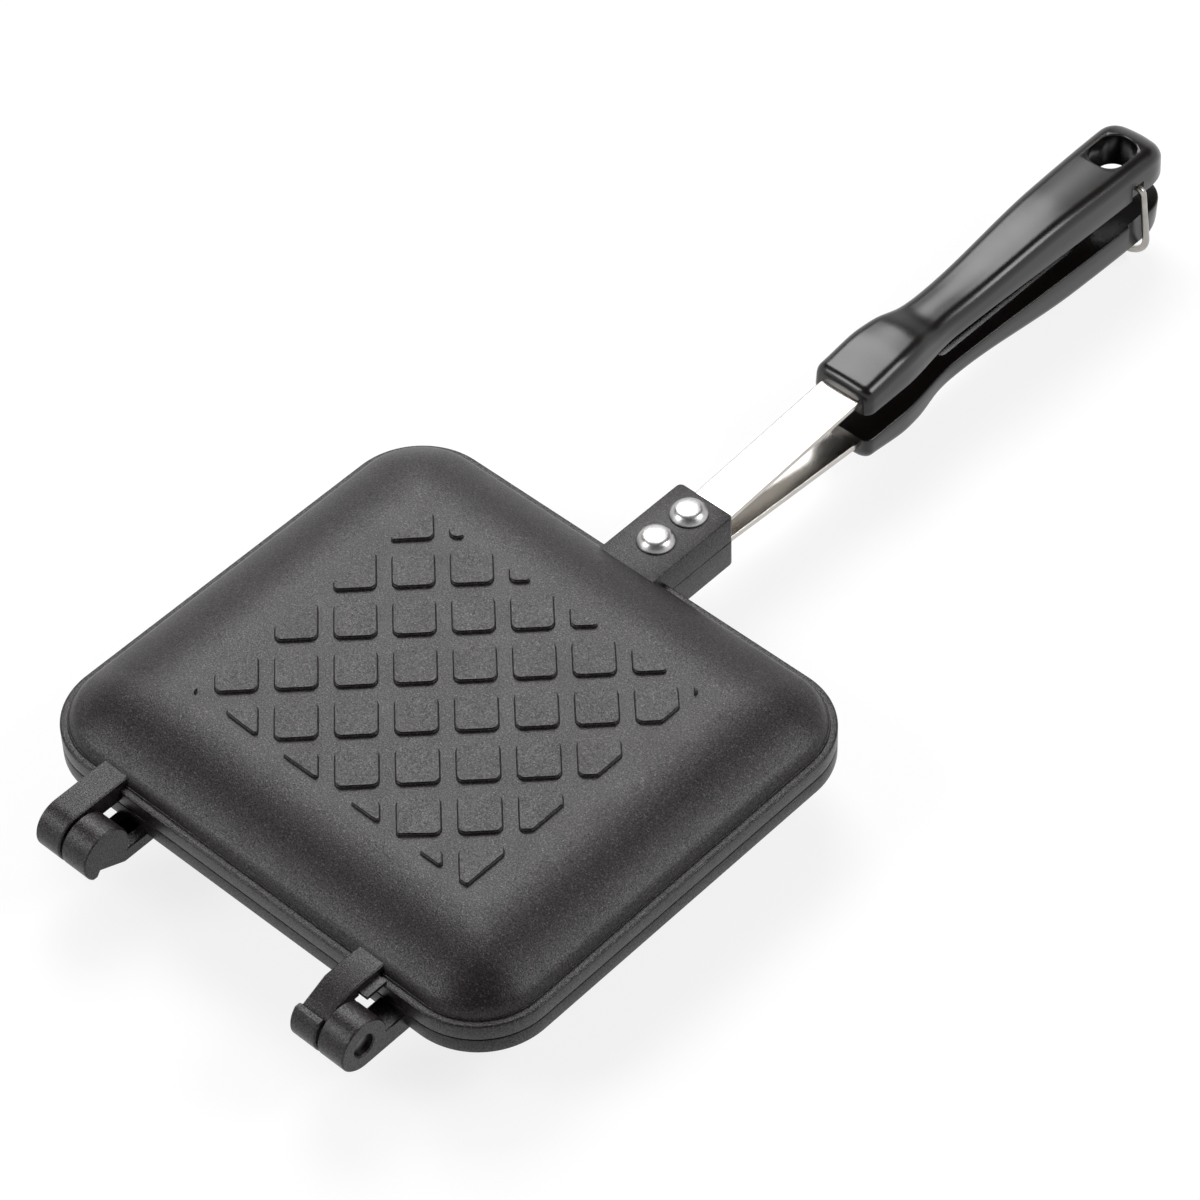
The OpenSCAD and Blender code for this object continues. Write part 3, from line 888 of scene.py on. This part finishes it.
@dataclass
class Casting:
    """One plate: domed back, ledge, rim, pads, strap tab and two hinge arms."""

    width: float = 150.0
    depth: float = 134.0
    corner: float = 20.0
    soft_corner: float = 12.0  # corners on the back that are smaller than this fade out softly
    fade: float = 40.0
    rim: float = 4.7
    rim_edge: float = 0.5
    mouth_edge: float = 0.3
    mouth_cut: float = 0.08
    dome: float = 14.5
    wall: float = 3.0
    ledge: float = 2.1
    ledge_step: float = 0.5
    step_edge: float = 0.04
    lip: float = 0.3
    crown_in: float = 25.0  # the large radius ends this far in, at the flat back
    crown: float = 37.5
    crown_deg: float = 33.0
    floor: float = 0.15  # gap between the rim and the parting plane
    pocket_edge: Flat = (0.3, 0.4)
    tab_long: float = 25.3
    tab_wide: float = 17.7
    tab_high: float = 8.3
    tab_corner: float = 1.5
    tab_edge: float = 0.45
    tab_foot: float = 0.15
    tab_sink: float = 0.1
    nudge: float = 0.01  # keeps the faces of joined solids out of one plane
    strap_start: float = 1.6
    channel_wide: float = 12.6
    channel_high: float = 4.7
    hinge_reach: float = 12.8
    barrel: float = 7.1
    arm_wide: float = 8.0
    arm_gap: float = 0.8
    arm_edge: float = 0.35
    arm_under: float = 1.2
    station: float = 42.0  # distance of each hinge station from the middle
    pin: float = 3.0
    pin_press: float = 0.02
    pin_clear: float = 0.06
    hook_under: float = 3.3
    hook_cap: float = 1.2
    slope_start: float = 4.8
    slope_end: float = 1.0
    lip_high: float = 5.1
    lip_wide: float = 1.4
    notch_high: float = 3.7
    web: float = 1.0
    web_reach: float = 2.7
    web_clear: float = 0.4
    rib: float = 3.0
    bore_steps: int = 32
    pads: Pads = field(default_factory=Pads)

    @property
    def hinge_y(self) -> float:
        """Place of the hinge axis."""
        return -self.depth / 2 - self.hinge_reach

    @property
    def arm_reach(self) -> float:
        """Length of an arm from the hinge axis into the plate's wall."""
        return self.hinge_reach + self.ledge + self.wall / 2

    @property
    def shoulder_in(self) -> float:
        """Distance in from the edge where the shoulder meets the large radius."""
        return self.crown_in - self.crown * math.sin(math.radians(self.crown_deg))

    def section(self) -> tuple[list[Flat], list[Flat]]:
        """Works out the section of the plate.

        Returns:
            Outer and inner section, as distance in from the edge and height.
        """
        turn = math.radians(self.crown_deg)
        low_z = self.dome - self.crown * (1 - math.cos(turn))
        foot_z = self.rim + self.ledge_step
        foot = 2 * math.atan2(low_z - foot_z, self.shoulder_in - self.ledge) - turn
        radius = (low_z - foot_z) / (math.cos(turn) - math.cos(foot))
        centre = (self.shoulder_in + radius * math.sin(turn), low_z - radius * math.cos(turn))

        def back(inset: float) -> list[Flat]:
            """Back of the dome, moved in by inset, from its foot to its flat."""
            low = arc(centre, radius - inset, 90 + math.degrees(foot), 90 + self.crown_deg, 9)
            middle = (self.crown_in, self.dome - self.crown)
            return low + arc(middle, self.crown - inset, 90 + self.crown_deg, 90, 16)[1:]

        r, s, q, e = self.rim_edge, self.ledge - self.lip, self.step_edge, self.mouth_edge
        mouth = [(e, self.floor), (self.mouth_cut, self.floor + self.mouth_cut), (0.0, self.floor + e)]
        rim = arc((r, self.rim - r), r, 180, 90, 4)
        step = [(s - q, self.rim), (s, self.rim + q)]
        step += [(s + q * out, foot_z - q * down) for out, down in ((0.5, 2.5), (1.25, 0.75), (3, 0))]
        inner = back(self.wall)
        wide, high = self.pocket_edge
        pocket = [(inner[0][0] - wide, self.floor), (inner[0][0], self.floor + high)]
        return mouth + rim + step + back(0.0), pocket + inner

    def outline(self, inset: float, z: float, steps: int = 28) -> list[Point]:
        """Plan outline of the plate.

        Args:
            inset: Distance in from the plate's edge.
            z: Height of the outline.
            steps: Steps in each corner.

        Returns:
            Counter-clockwise points.
        """
        left = self.corner - inset
        radius = left + max(0.0, self.soft_corner - left) ** 2 / self.fade
        wide, deep = self.width - 2 * inset, self.depth - 2 * inset
        return [(x, y, z) for x, y in round_rect(wide, deep, radius, steps)]

    def plate(self) -> Object:
        """Domed plate with its rim and pocket."""
        outer, inner = self.section()
        return Shell(self.outline(inset, z) for inset, z in inner[::-1] + outer).object("plate")

    def tab(self) -> Object:
        """Builds the tab that takes the strap.

        Returns:
            The tab, with a channel along its inner face.
        """
        y0, y1 = self.depth / 2 - self.shoulder_in - self.tab_sink, self.depth / 2 + self.tab_long
        w, r, e = self.tab_wide / 2, self.tab_corner, self.tab_edge
        outline = [(-w, y0), (w, y0)]
        for side, start in ((1, 0), (-1, 90)):
            outline += arc((side * (w - r), y1 - r), r, start, start + 90, 6)
        low, high = self.floor + self.nudge, self.tab_high
        rings = [(self.tab_foot, low), (0.0, low + self.tab_foot)]
        rings += [(0.0, high - e), (e * 0.3, high - e * 0.3), (e, high)]
        made = Shell([(x, y, z) for x, y in grown(outline, -inset)] for inset, z in rings).object("tab")
        c = self.channel_wide / 2
        along = (self.depth / 2 + self.strap_start, y1 + PAST)
        carve(made, [block("channel", (-c, c), along, (-PAST, self.channel_high))])
        return made

    def lift(self, at: Flat, x: float) -> Point:
        """Point in space for a point beside the hinge axis and a place along it."""
        return (x, self.hinge_y + at[0], at[1])

    def barrel_arm(self) -> Object:
        """Builds the arm on the side of negative X.

        Returns:
            The arm, with a full barrel.
        """
        start = math.degrees(math.asin(self.arm_under / self.barrel))
        outline = [(self.arm_reach, self.arm_under), (self.arm_reach, self.barrel)]
        outline += arc((0, 0), self.barrel, 90, 360 + start, 56)
        x1 = -self.station - self.arm_gap / 2
        bore = circle(self.pin + self.pin_press, self.bore_steps)
        return prism(outline, x1 - self.arm_wide, x1, self.arm_edge, self.lift, bore).object("barrel_arm")

    def hook_arm(self) -> Object:
        """Builds the arm on the side of positive X.

        Returns:
            The arm, with its hook, rib and web.
        """
        lip_y = math.sqrt(self.barrel**2 - self.lip_high**2)
        lip_deg = math.degrees(math.atan2(self.lip_high, -lip_y))
        end_deg = 360 + math.degrees(math.asin(self.hook_under / self.barrel))
        slope = self.lip_wide - lip_y
        outline = [(self.arm_reach, self.hook_under), (self.arm_reach, self.barrel)]
        outline += [(self.slope_start, self.barrel), (slope + self.slope_end, self.notch_high)]
        outline += [(slope, self.lip_high)]
        outline += arc((0, 0), self.barrel, lip_deg, end_deg, 48)
        x1 = self.station - self.arm_gap / 2
        x0 = x1 - self.arm_wide
        made = prism(outline, x0, x1, self.arm_edge, self.lift).object("hook_arm")
        hole = circle(self.pin + self.pin_clear, self.bore_steps)
        bore = Shell([self.lift(p, x) for p in hole] for x in (x0 + self.hook_cap, x1 + PAST))
        near, far = self.hinge_y + self.barrel + self.web_clear, self.hinge_y + self.hinge_reach
        web_z = self.hook_under + self.web
        recess = block("recess", (x0 + self.rib, x1 + PAST), (near, far), (self.hook_under - PAST, web_z))
        carve(made, [recess, bore.object("bore")])
        across = (x0 + PAST, x1 + self.web_reach)
        join(made, [block("web", across, (near, far + PAST), (web_z, web_z + self.web))])
        return made

    def build(self, finish: Finish) -> None:
        """Builds both castings.

        Args:
            finish: Their coat.
        """
        material = finish.make()
        whole = self.plate()
        join(whole, [self.tab(), self.barrel_arm(), self.hook_arm(), self.pads.build(self.dome, material)])
        for half in Half:
            made = added(f"{half.value}_plate_casting", whole.data.copy())
            settle(made, half, material, finish.slot, [f"{half.value}_casting"])
        bpy.data.objects.remove(whole)


# ---- straps, rivets and pins ----


@dataclass
class Strap:
    """Flat steel strip from a casting's tab to its grip."""

    wide: float = 12.3
    thick: float = 2.0
    outer_z: float = Casting.channel_high
    rise: float = 3.9
    end_gap: float = 0.2
    start_y: float = Casting.depth / 2 + Casting.strap_start + end_gap
    bend_after: float = 1.5
    bend_y: float = Casting.depth / 2 + Casting.tab_long + bend_after
    level_y: float = 145.6
    end_y: float = 174.6
    edge: float = 0.6
    bend: float = 40.0

    def build(self, finish: Finish) -> None:
        """Builds both straps.

        Args:
            finish: Their steel.
        """
        material = finish.make()
        low = self.outer_z - self.thick / 2
        high = low + self.rise
        places = ((self.start_y, low), (self.bend_y, low), (self.level_y, high), (self.end_y, high))
        path = rounded_path([Vector((0, y, z)) for y, z in places], [self.bend, self.bend])
        shell = sweep(path, round_rect(self.wide, self.thick, self.edge, 4), Vector((1, 0, 0)))
        for half in Half:
            made = shell.object(f"{half.value}_steel_strap")
            settle(made, half, material, finish.slot, [f"{half.value}_strap"])


@dataclass
class Rivets:
    """Two domed rivets through each tab and strap."""

    first_y: float = 73.6
    pitch: float = 12.0
    seat_z: float = Casting.tab_high
    head: float = 5.0
    high: float = 2.5
    crown: float = 3.3
    crown_drop: float = 0.4
    bulge: float = 0.45  # share of the flank's fall that is straight
    rim: float = 0.3
    rim_lean: float = 0.02
    rim_edge: float = 0.2
    shank: float = 3.0
    tail: float = 4.0
    tail_edge: float = 0.3
    tail_high: float = 1.1
    tail_z: float = Strap.outer_z - Strap.thick

    def profile(self) -> list[Flat]:
        """Works out half of a rivet's section.

        Returns:
            Points, as radius and height over the tab.
        """
        low, end = self.tail_z - self.seat_z, self.tail_z - self.seat_z - self.tail_high
        top = self.high - self.crown_drop
        crown = [(self.crown * k / 6, self.high - self.crown_drop * (k / 6) ** 2) for k in range(1, 7)]
        flank = []
        for t in (k / 8 for k in range(1, 9)):
            fall = self.bulge * t + (1 - self.bulge) * t * t
            flank.append((self.crown + (self.head - self.crown) * t, top - (top - self.rim) * fall))
        rim = [(self.head - self.rim_lean, self.rim / 2), (self.head - self.rim_edge, 0.0), (self.shank, 0.0)]
        tail = [(self.shank, low), (self.tail - self.rim_edge, low), (self.tail, low - self.rim_edge)]
        tail += [(self.tail, end + self.tail_edge), (self.tail - self.tail_edge, end)]
        return crown + flank + rim + tail

    def build(self, finish: Finish, steps: int = 48) -> None:
        """Builds the pair of rivets of each half.

        Args:
            finish: Their metal.
            steps: Points round a rivet.
        """
        material = finish.make()
        tree = row_tree()
        shell = Shell([(x, y, z) for x, y in circle(r, steps)] for r, z in self.profile())
        row = {"Count": 2, "First": self.first_y, "Pitch": self.pitch, "Seat": self.seat_z}
        for half in Half:
            made = shell.object(f"{half.value}_rivet_pair")
            grow(made, tree, row | {"Finish": material})
            nodes = [f"{half.value}_rivet_{side}_side" for side in ("plate", "grip")]
            settle(made, half, material, finish.slot, nodes, smooth_deg=50)


@dataclass
class HingePins:
    """Pins of the hinge, whose solids stay as they are and take a finish."""

    nodes: tuple[str, ...] = ("lower_hinge_pin", "upper_hinge_pin")

    def build(self, finish: Finish, solids: dict[str, Object]) -> None:
        """Dresses the pins.

        Args:
            finish: Their steel.
            solids: Name and object of every solid in the frame.
        """
        material = finish.make()
        for name in self.nodes:
            pin = solids[name]
            for slot in pin.material_slots:
                slot.material = material
            if not pin.material_slots:
                pin.data.materials.append(material)
            LOG.info("%s: solid kept with a new finish", name)


# ---- grips and loop ----


@dataclass
class Grip:
    """Moulded grip with a waist, a hollow inner side and a hanging slot."""

    start_y: float = 142.6
    length: float = 124.3
    front_wide: float = 9.4
    waist_wide: float = 7.15
    end_wide: float = 9.4
    under: float = 4.4
    front_high: float = 13.75
    waist_high: float = 12.15
    rear_high: float = 15.2
    waist_at: float = 37.0
    shoulder_len: float = 14.0
    front_rise: float = 1.6
    front_run: float = 16.0
    fall_at: float = 21.5
    fall_end: float = 31.5
    swell_after: float = 4.0
    swell_len: float = 44.0
    swell_wide: float = 0.8  # exponent of the width's growth behind the waist
    edge: float = 3.5
    front_edge: float = 2.6
    front_taper: float = 0.22
    nose: float = 10.6
    nose_plan: float = 2.4  # exponents of the nose's curve in plan and from the side
    nose_side: float = 2.3
    tip: float = 0.005
    least_wide: float = 0.3
    least_high: float = 0.8
    edge_share: float = 0.7  # of the half width or the height, at most
    stations: int = 72
    inner_edge: float = 0.6
    draft: float = 0.2
    camber: float = 0.25
    hollow_high: float = 4.6
    hollow_wide: float = 3.4
    hollow_corner: float = 2.0
    hollow_y: Flat = (178.6, 240.8)
    slot_y: float = 251.4
    slot_long: float = 13.2
    slot_wide: float = 10.4
    slot_corner: float = 4.5
    slot_edge: float = 0.8
    slot_over: float = 0.28
    slot_sink: float = 0.05
    pivot_y: float = 251.2
    pivot_z: float = 7.9
    relief: float = 1.1
    relief_corner: float = 0.9
    eye_room: float = 2.3
    wire_room: Flat = (-2.5, 5.5)  # where the wire passes the lower grip, from the pivot

    @property
    def nose_y(self) -> float:
        """Place where the nose starts to round off."""
        return self.start_y + self.length - self.nose

    @staticmethod
    def ease(t: float) -> float:
        """Smooth step between 0 and 1."""
        c = max(0.0, min(1.0, t))
        return c * c * (3 - 2 * c)

    def half_wide(self, y: float) -> float:
        """Half width of the grip at a place, without its rounded ends."""
        d = y - self.start_y
        a = self.ease((d - self.shoulder_len) / (self.waist_at - self.shoulder_len))
        b = self.ease((d - self.waist_at) / (self.length - self.nose - self.waist_at)) ** self.swell_wide
        narrow, swell = self.waist_wide - self.front_wide, self.end_wide - self.waist_wide
        return self.front_wide + narrow * a + swell * b

    def high(self, y: float) -> float:
        """Height of the outer face over the inner face at a place, without the rounded ends."""
        d = y - self.start_y
        f = self.front_rise * (self.ease(d / self.front_run) - 1)
        a = self.ease((d - self.fall_at) / (self.fall_end - self.fall_at))
        b = self.ease((d - self.waist_at - self.swell_after) / self.swell_len)
        fall, swell = self.waist_high - self.front_high, self.rear_high - self.waist_high
        return self.front_high + f + fall * a + swell * b - self.under

    def section(self, y: float, steps: int = 9) -> list[Flat]:
        """Works out the grip's section.

        Args:
            y: Place along the iron.
            steps: Steps in each upper edge.

        Returns:
            Closed section, as points across and up from the inner face.
        """
        front = math.sqrt(1 - max(0.0, 1 - (y - self.start_y) / self.front_edge) ** 2)
        nose = max(0.0, (y - self.nose_y) / self.nose)
        taper = 1 - self.front_taper * (1 - front)
        tip = math.sqrt(max(0.0, 1 - min(1.0, nose) ** self.nose_plan))
        w = max(self.least_wide, self.half_wide(y) * taper * tip)
        lowered = self.high(y) - self.front_edge * (1 - front)
        h = max(self.least_high, lowered * math.sqrt(max(0.02, 1 - nose**self.nose_side)))
        r = min(self.edge, self.edge_share * min(w, h))
        c = min(self.inner_edge, w / 4, h / 6)
        rise = min(self.camber, h / 20)
        flat = w - self.draft - r
        right = arc((w - c, c), c, -90, 0, 3) + [(w - self.draft / 2, (c + h - r) / 2)]
        right += arc((flat, h - r), r, 0, 90, steps)
        right += [(flat * s, h + rise * (1 - s * s)) for s in (0.66, 0.33)]
        return right + [(0.0, h + rise)] + [(-x, z) for x, z in right[::-1]]

    def body(self, name: str) -> Object:
        """Builds the outer form of the grip.

        Args:
            name: Name of the object.

        Returns:
            The grip without its cuts.
        """
        front_y, tip_y = self.start_y + self.front_edge, self.start_y + self.length - self.tip
        nose_degs = (7, 14, 21, 28, 35, 42, 49, 56, 62, 68, 73, 78, 82, 85.5, 88.5)
        ys = [front_y - self.front_edge * math.cos(math.radians(a)) for a in range(0, 90, 9)]
        ys += [front_y + (self.nose_y - front_y) * k / self.stations for k in range(self.stations + 1)]
        ys += [self.nose_y + self.nose * math.sin(math.radians(a)) for a in nose_degs]
        return Shell([(x, y, self.under + z) for x, z in self.section(y)] for y in [*ys, tip_y]).object(name)

    def slot_cut(self) -> Object:
        """Builds the cutter for the hanging slot.

        Returns:
            The cutter, flared where it meets the outer and the inner face.
        """
        top = self.under + self.high(self.slot_y) + self.slot_over
        e = self.slot_edge
        levels = [(e, self.under - PAST), (e, self.under - self.slot_sink)]
        levels += [(e * 0.3, self.under + e * 0.4), (0.0, self.under + e)]
        levels += [(e + x, top - e + z) for x, z in arc((0, 0), e, 180, 90, 4)] + [(e, top + 4 * PAST)]
        wide, long, corner = self.slot_wide, self.slot_long, self.slot_corner
        rings = [(round_rect(wide + 2 * g, long + 2 * g, corner + g), z) for g, z in levels]
        return Shell([(x, self.slot_y + y, z) for x, y in ring] for ring, z in rings).object("slot_cut")

    def hollow_cut(self) -> Object:
        """Cutter for the hollow in the inner side."""
        across, up = (-self.hollow_wide, self.hollow_wide), (self.under - PAST, self.under + self.hollow_high)
        return block("hollow_cut", across, self.hollow_y, up, self.hollow_corner)

    def wire_cuts(self, half: Half) -> list[Object]:
        """Builds the cutters that make room for the loop.

        Args:
            half: Half whose grip is cut.

        Returns:
            Slots beside the pivot of the upper grip, or a groove round the lower one.
        """
        along = (self.pivot_y - self.eye_room, self.pivot_y + self.eye_room)
        up = (self.under - 2 * PAST, self.pivot_z + PAST)
        if half is Half.LOWER:
            along = (self.pivot_y + self.wire_room[0], self.pivot_y + self.wire_room[1])
            up = (-PAST, self.under + self.rear_high + PAST)
        inner, outer = self.end_wide - self.relief, self.end_wide + 2 * PAST + self.relief
        sides = [(-outer, -inner), (inner, outer)]
        cuts = [block("relief", across, along, up, self.relief_corner) for across in sides]
        if half is Half.LOWER:
            wide = self.end_wide + 2 * PAST
            groove = (self.rear_high - self.relief, self.rear_high + 4 * PAST)
            cuts.append(block("relief", (-wide, wide), along, groove, self.relief_corner))
        return cuts

    def build(self, finish: Finish) -> None:
        """Builds both grips, each with its own cuts.

        Args:
            finish: Their resin.
        """
        material = finish.make()
        for half in Half:
            made = self.body(f"{half.value}_moulded_grip")
            slot = [self.slot_cut()] if half is Half.UPPER else []
            carve(made, [self.hollow_cut(), *slot, *self.wire_cuts(half)])
            face_out(made.data)
            settle(made, half, material, finish.slot, [f"{half.value}_grip"], smooth_deg=40)


@dataclass
class LatchLoop:
    """Wire loop that swings in the upper grip's sides and goes round the lower grip."""

    wire: float = 0.95
    leg_x: float = 10.8
    reach: float = 28.1
    bend: float = 9.0
    ear: float = 1.5
    wire_in: float = 2.4
    hang_deg: float = 9.5

    def build(self, finish: Finish) -> None:
        """Builds the loop.

        Args:
            finish: Its steel.
        """
        inner, leg = Grip.end_wide - self.wire_in, self.leg_x
        side = [(inner, 0, 0), (leg, 0, 0), (leg, 0, -self.reach)]
        corners = [Vector(p) for p in side] + [Vector((-x, y, z)) for x, y, z in side[::-1]]
        path = rounded_path(corners, [self.ear, self.bend, self.bend, self.ear], steps=12)
        shell = sweep(path, circle(self.wire, steps=20), Vector((0, 1, 0)))
        hang = Matrix.Rotation(math.radians(self.hang_deg), 4, "X")
        place = Matrix.Translation((0, Grip.pivot_y, Grip.pivot_z)) @ hang
        shell.points = [tuple(place @ Vector(p)) for p in shell.points]
        made = shell.object("wire_latch_loop")
        settle(made, Half.UPPER, finish.make(), finish.slot, ["latch_loop"], body="loop")


# ---- stage ----


@dataclass
class Studio:
    """Camera, floor, lamps and background, in metres."""

    camera_at: Point = (0.5432, -0.5097, 0.8636)
    right: Point = (0.7362, 0.6764, -0.0226)
    up: Point = (-0.4853, 0.5508, 0.6791)
    forward: Point = (-0.4718, 0.4890, -0.7337)
    lens: float = 142.43
    sensor: float = 36.0
    floor_z: float = -0.0062
    floor_half: float = 6.0
    paper: str = "#7c7c7c"
    paper_glow: float = 0.81
    surround: float = 0.08
    wall_fades: float = 0.35  # upward part of a ray's direction where the white wall starts to fade
    wall_ends: float = 0.5
    aim: Point = (0, 0.08, 0.015)
    lamps: tuple[tuple[str, Point, float, float], ...] = (
        ("back_softbox", (-0.54, 0.53, 0.95), 0.66, 10.2),
        ("left_softbox", (-0.52, -0.72, 0.75), 0.45, 5.6),
        ("right_softbox", (0.71, 0.54, 0.745), 0.45, 5.6),
    )

    def camera(self) -> None:
        """Sets up the camera of the photograph."""
        data = bpy.data.cameras.new("camera")
        data.sensor_width, data.lens = self.sensor, self.lens
        data.clip_start, data.clip_end = 0.01, 50
        made = added("camera", data)
        turn = Matrix((self.right, self.up, tuple(-c for c in self.forward))).transposed()
        made.matrix_world = Matrix.Translation(self.camera_at) @ turn.to_4x4()
        bpy.context.scene.camera = made

    def seen(self, tree: Tree) -> Socket:
        """Finds the rays that see the background.

        Args:
            tree: Node tree that needs to know.

        Returns:
            Factor of 1 for rays from the camera, from gloss and through glass.
        """
        path = put(tree, "ShaderNodeLightPath").outputs
        seen = path["Is Camera Ray"]
        for kind in ("Is Glossy Ray", "Is Transmission Ray"):
            seen = put(tree, "ShaderNodeMath", {0: seen, 1: path[kind]}, operation="MAXIMUM").outputs[0]
        return seen

    def floor(self) -> None:
        """Builds a pale floor that shows white and keeps a soft shadow."""
        mesh = bpy.data.meshes.new("floor")
        corners = ((-1, -1), (1, -1), (1, 1), (-1, 1))
        points = [(x * self.floor_half, y * self.floor_half, self.floor_z) for x, y in corners]
        mesh.from_pydata(points, [], [(0, 1, 2, 3)])
        made = added("floor", mesh)
        material = bpy.data.materials.new("matt_white_paper")
        tree = empty_tree(material)
        paper = put(tree, "ShaderNodeBsdfDiffuse", {"Color": linear(self.paper)})
        glow = put(tree, "ShaderNodeEmission", {"Color": linear("#ffffff"), "Strength": self.paper_glow})
        lit = put(tree, "ShaderNodeAddShader", {0: paper.outputs[0], 1: glow.outputs[0]})
        mix = put(tree, "ShaderNodeMixShader", {0: self.seen(tree), 1: paper.outputs[0], 2: lit.outputs[0]})
        put(tree, "ShaderNodeOutputMaterial", {"Surface": mix.outputs[0]})
        made.data.materials.append(material)

    def world(self) -> None:
        """Builds a soft grey surround that shows white behind the iron.

        The white is a wall round the iron that ends below the lamps, under a dark ceiling.
        """
        made = bpy.data.worlds.new("studio")
        tree = empty_tree(made)
        soft = put(tree, "ShaderNodeBackground", {"Color": linear("#ffffff"), "Strength": self.surround})
        white = put(tree, "ShaderNodeBackground", {"Color": linear("#ffffff"), "Strength": 1.0})
        way = put(tree, "ShaderNodeSeparateXYZ", {0: put(tree, "ShaderNodeTexCoord").outputs["Generated"]})
        fade = {"From Min": self.wall_fades, "From Max": self.wall_ends, "To Min": 1.0, "To Max": 0.0}
        wall = put(tree, "ShaderNodeMapRange", {"Value": way.outputs["Z"]} | fade)
        shown = put(tree, "ShaderNodeMath", {0: self.seen(tree), 1: wall.outputs[0]}, operation="MULTIPLY")
        mix = put(tree, "ShaderNodeMixShader", {0: shown.outputs[0], 1: soft.outputs[0], 2: white.outputs[0]})
        put(tree, "ShaderNodeOutputWorld", {"Surface": mix.outputs[0]})
        bpy.context.scene.world = made

    def lamp(self, name: str, at: Point, size: float, power: float) -> None:
        """Builds a square soft lamp aimed at the middle of the iron.

        Args:
            name: Name of the lamp.
            at: Its place.
            size: Length of its side.
            power: Its power in watts.
        """
        data = bpy.data.lights.new(name, "AREA")
        data.size, data.energy = size, power
        made = added(name, data)
        made.location = at
        made.rotation_mode = "QUATERNION"
        made.rotation_quaternion = (Vector(self.aim) - Vector(at)).to_track_quat("-Z", "Y")

    def build(self) -> None:
        """Builds the stage."""
        self.camera()
        self.floor()
        self.world()
        for name, at, size, power in self.lamps:
            self.lamp(name, at, size, power)
        bpy.context.scene.view_settings.view_transform = "Standard"


def main() -> None:
    """Builds the iron on its frame and the studio round it."""
    logging.basicConfig(level=logging.INFO, format="%(name)s: %(message)s")
    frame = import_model()
    Studio().build()
    Casting().build(CoatedCasting("non_stick_coated_cast_aluminium", "casting_coat"))
    Strap().build(RolledSteel("brushed_stainless_strip", "strap_steel"))
    Rivets().build(TumbledAlloy("tumbled_aluminium_rivet", "rivet_alloy"))
    pin_steel = DrawnWire("turned_steel_pin", "pin_steel", low="#77757a", high="#59575a")
    HingePins().build(pin_steel, frame["nodes"])
    Grip().build(MouldedPhenolic("satin_black_phenolic", "grip_black"))
    LatchLoop().build(DrawnWire("drawn_steel_wire", "loop_steel"))


if __name__ == "__main__":
    main()
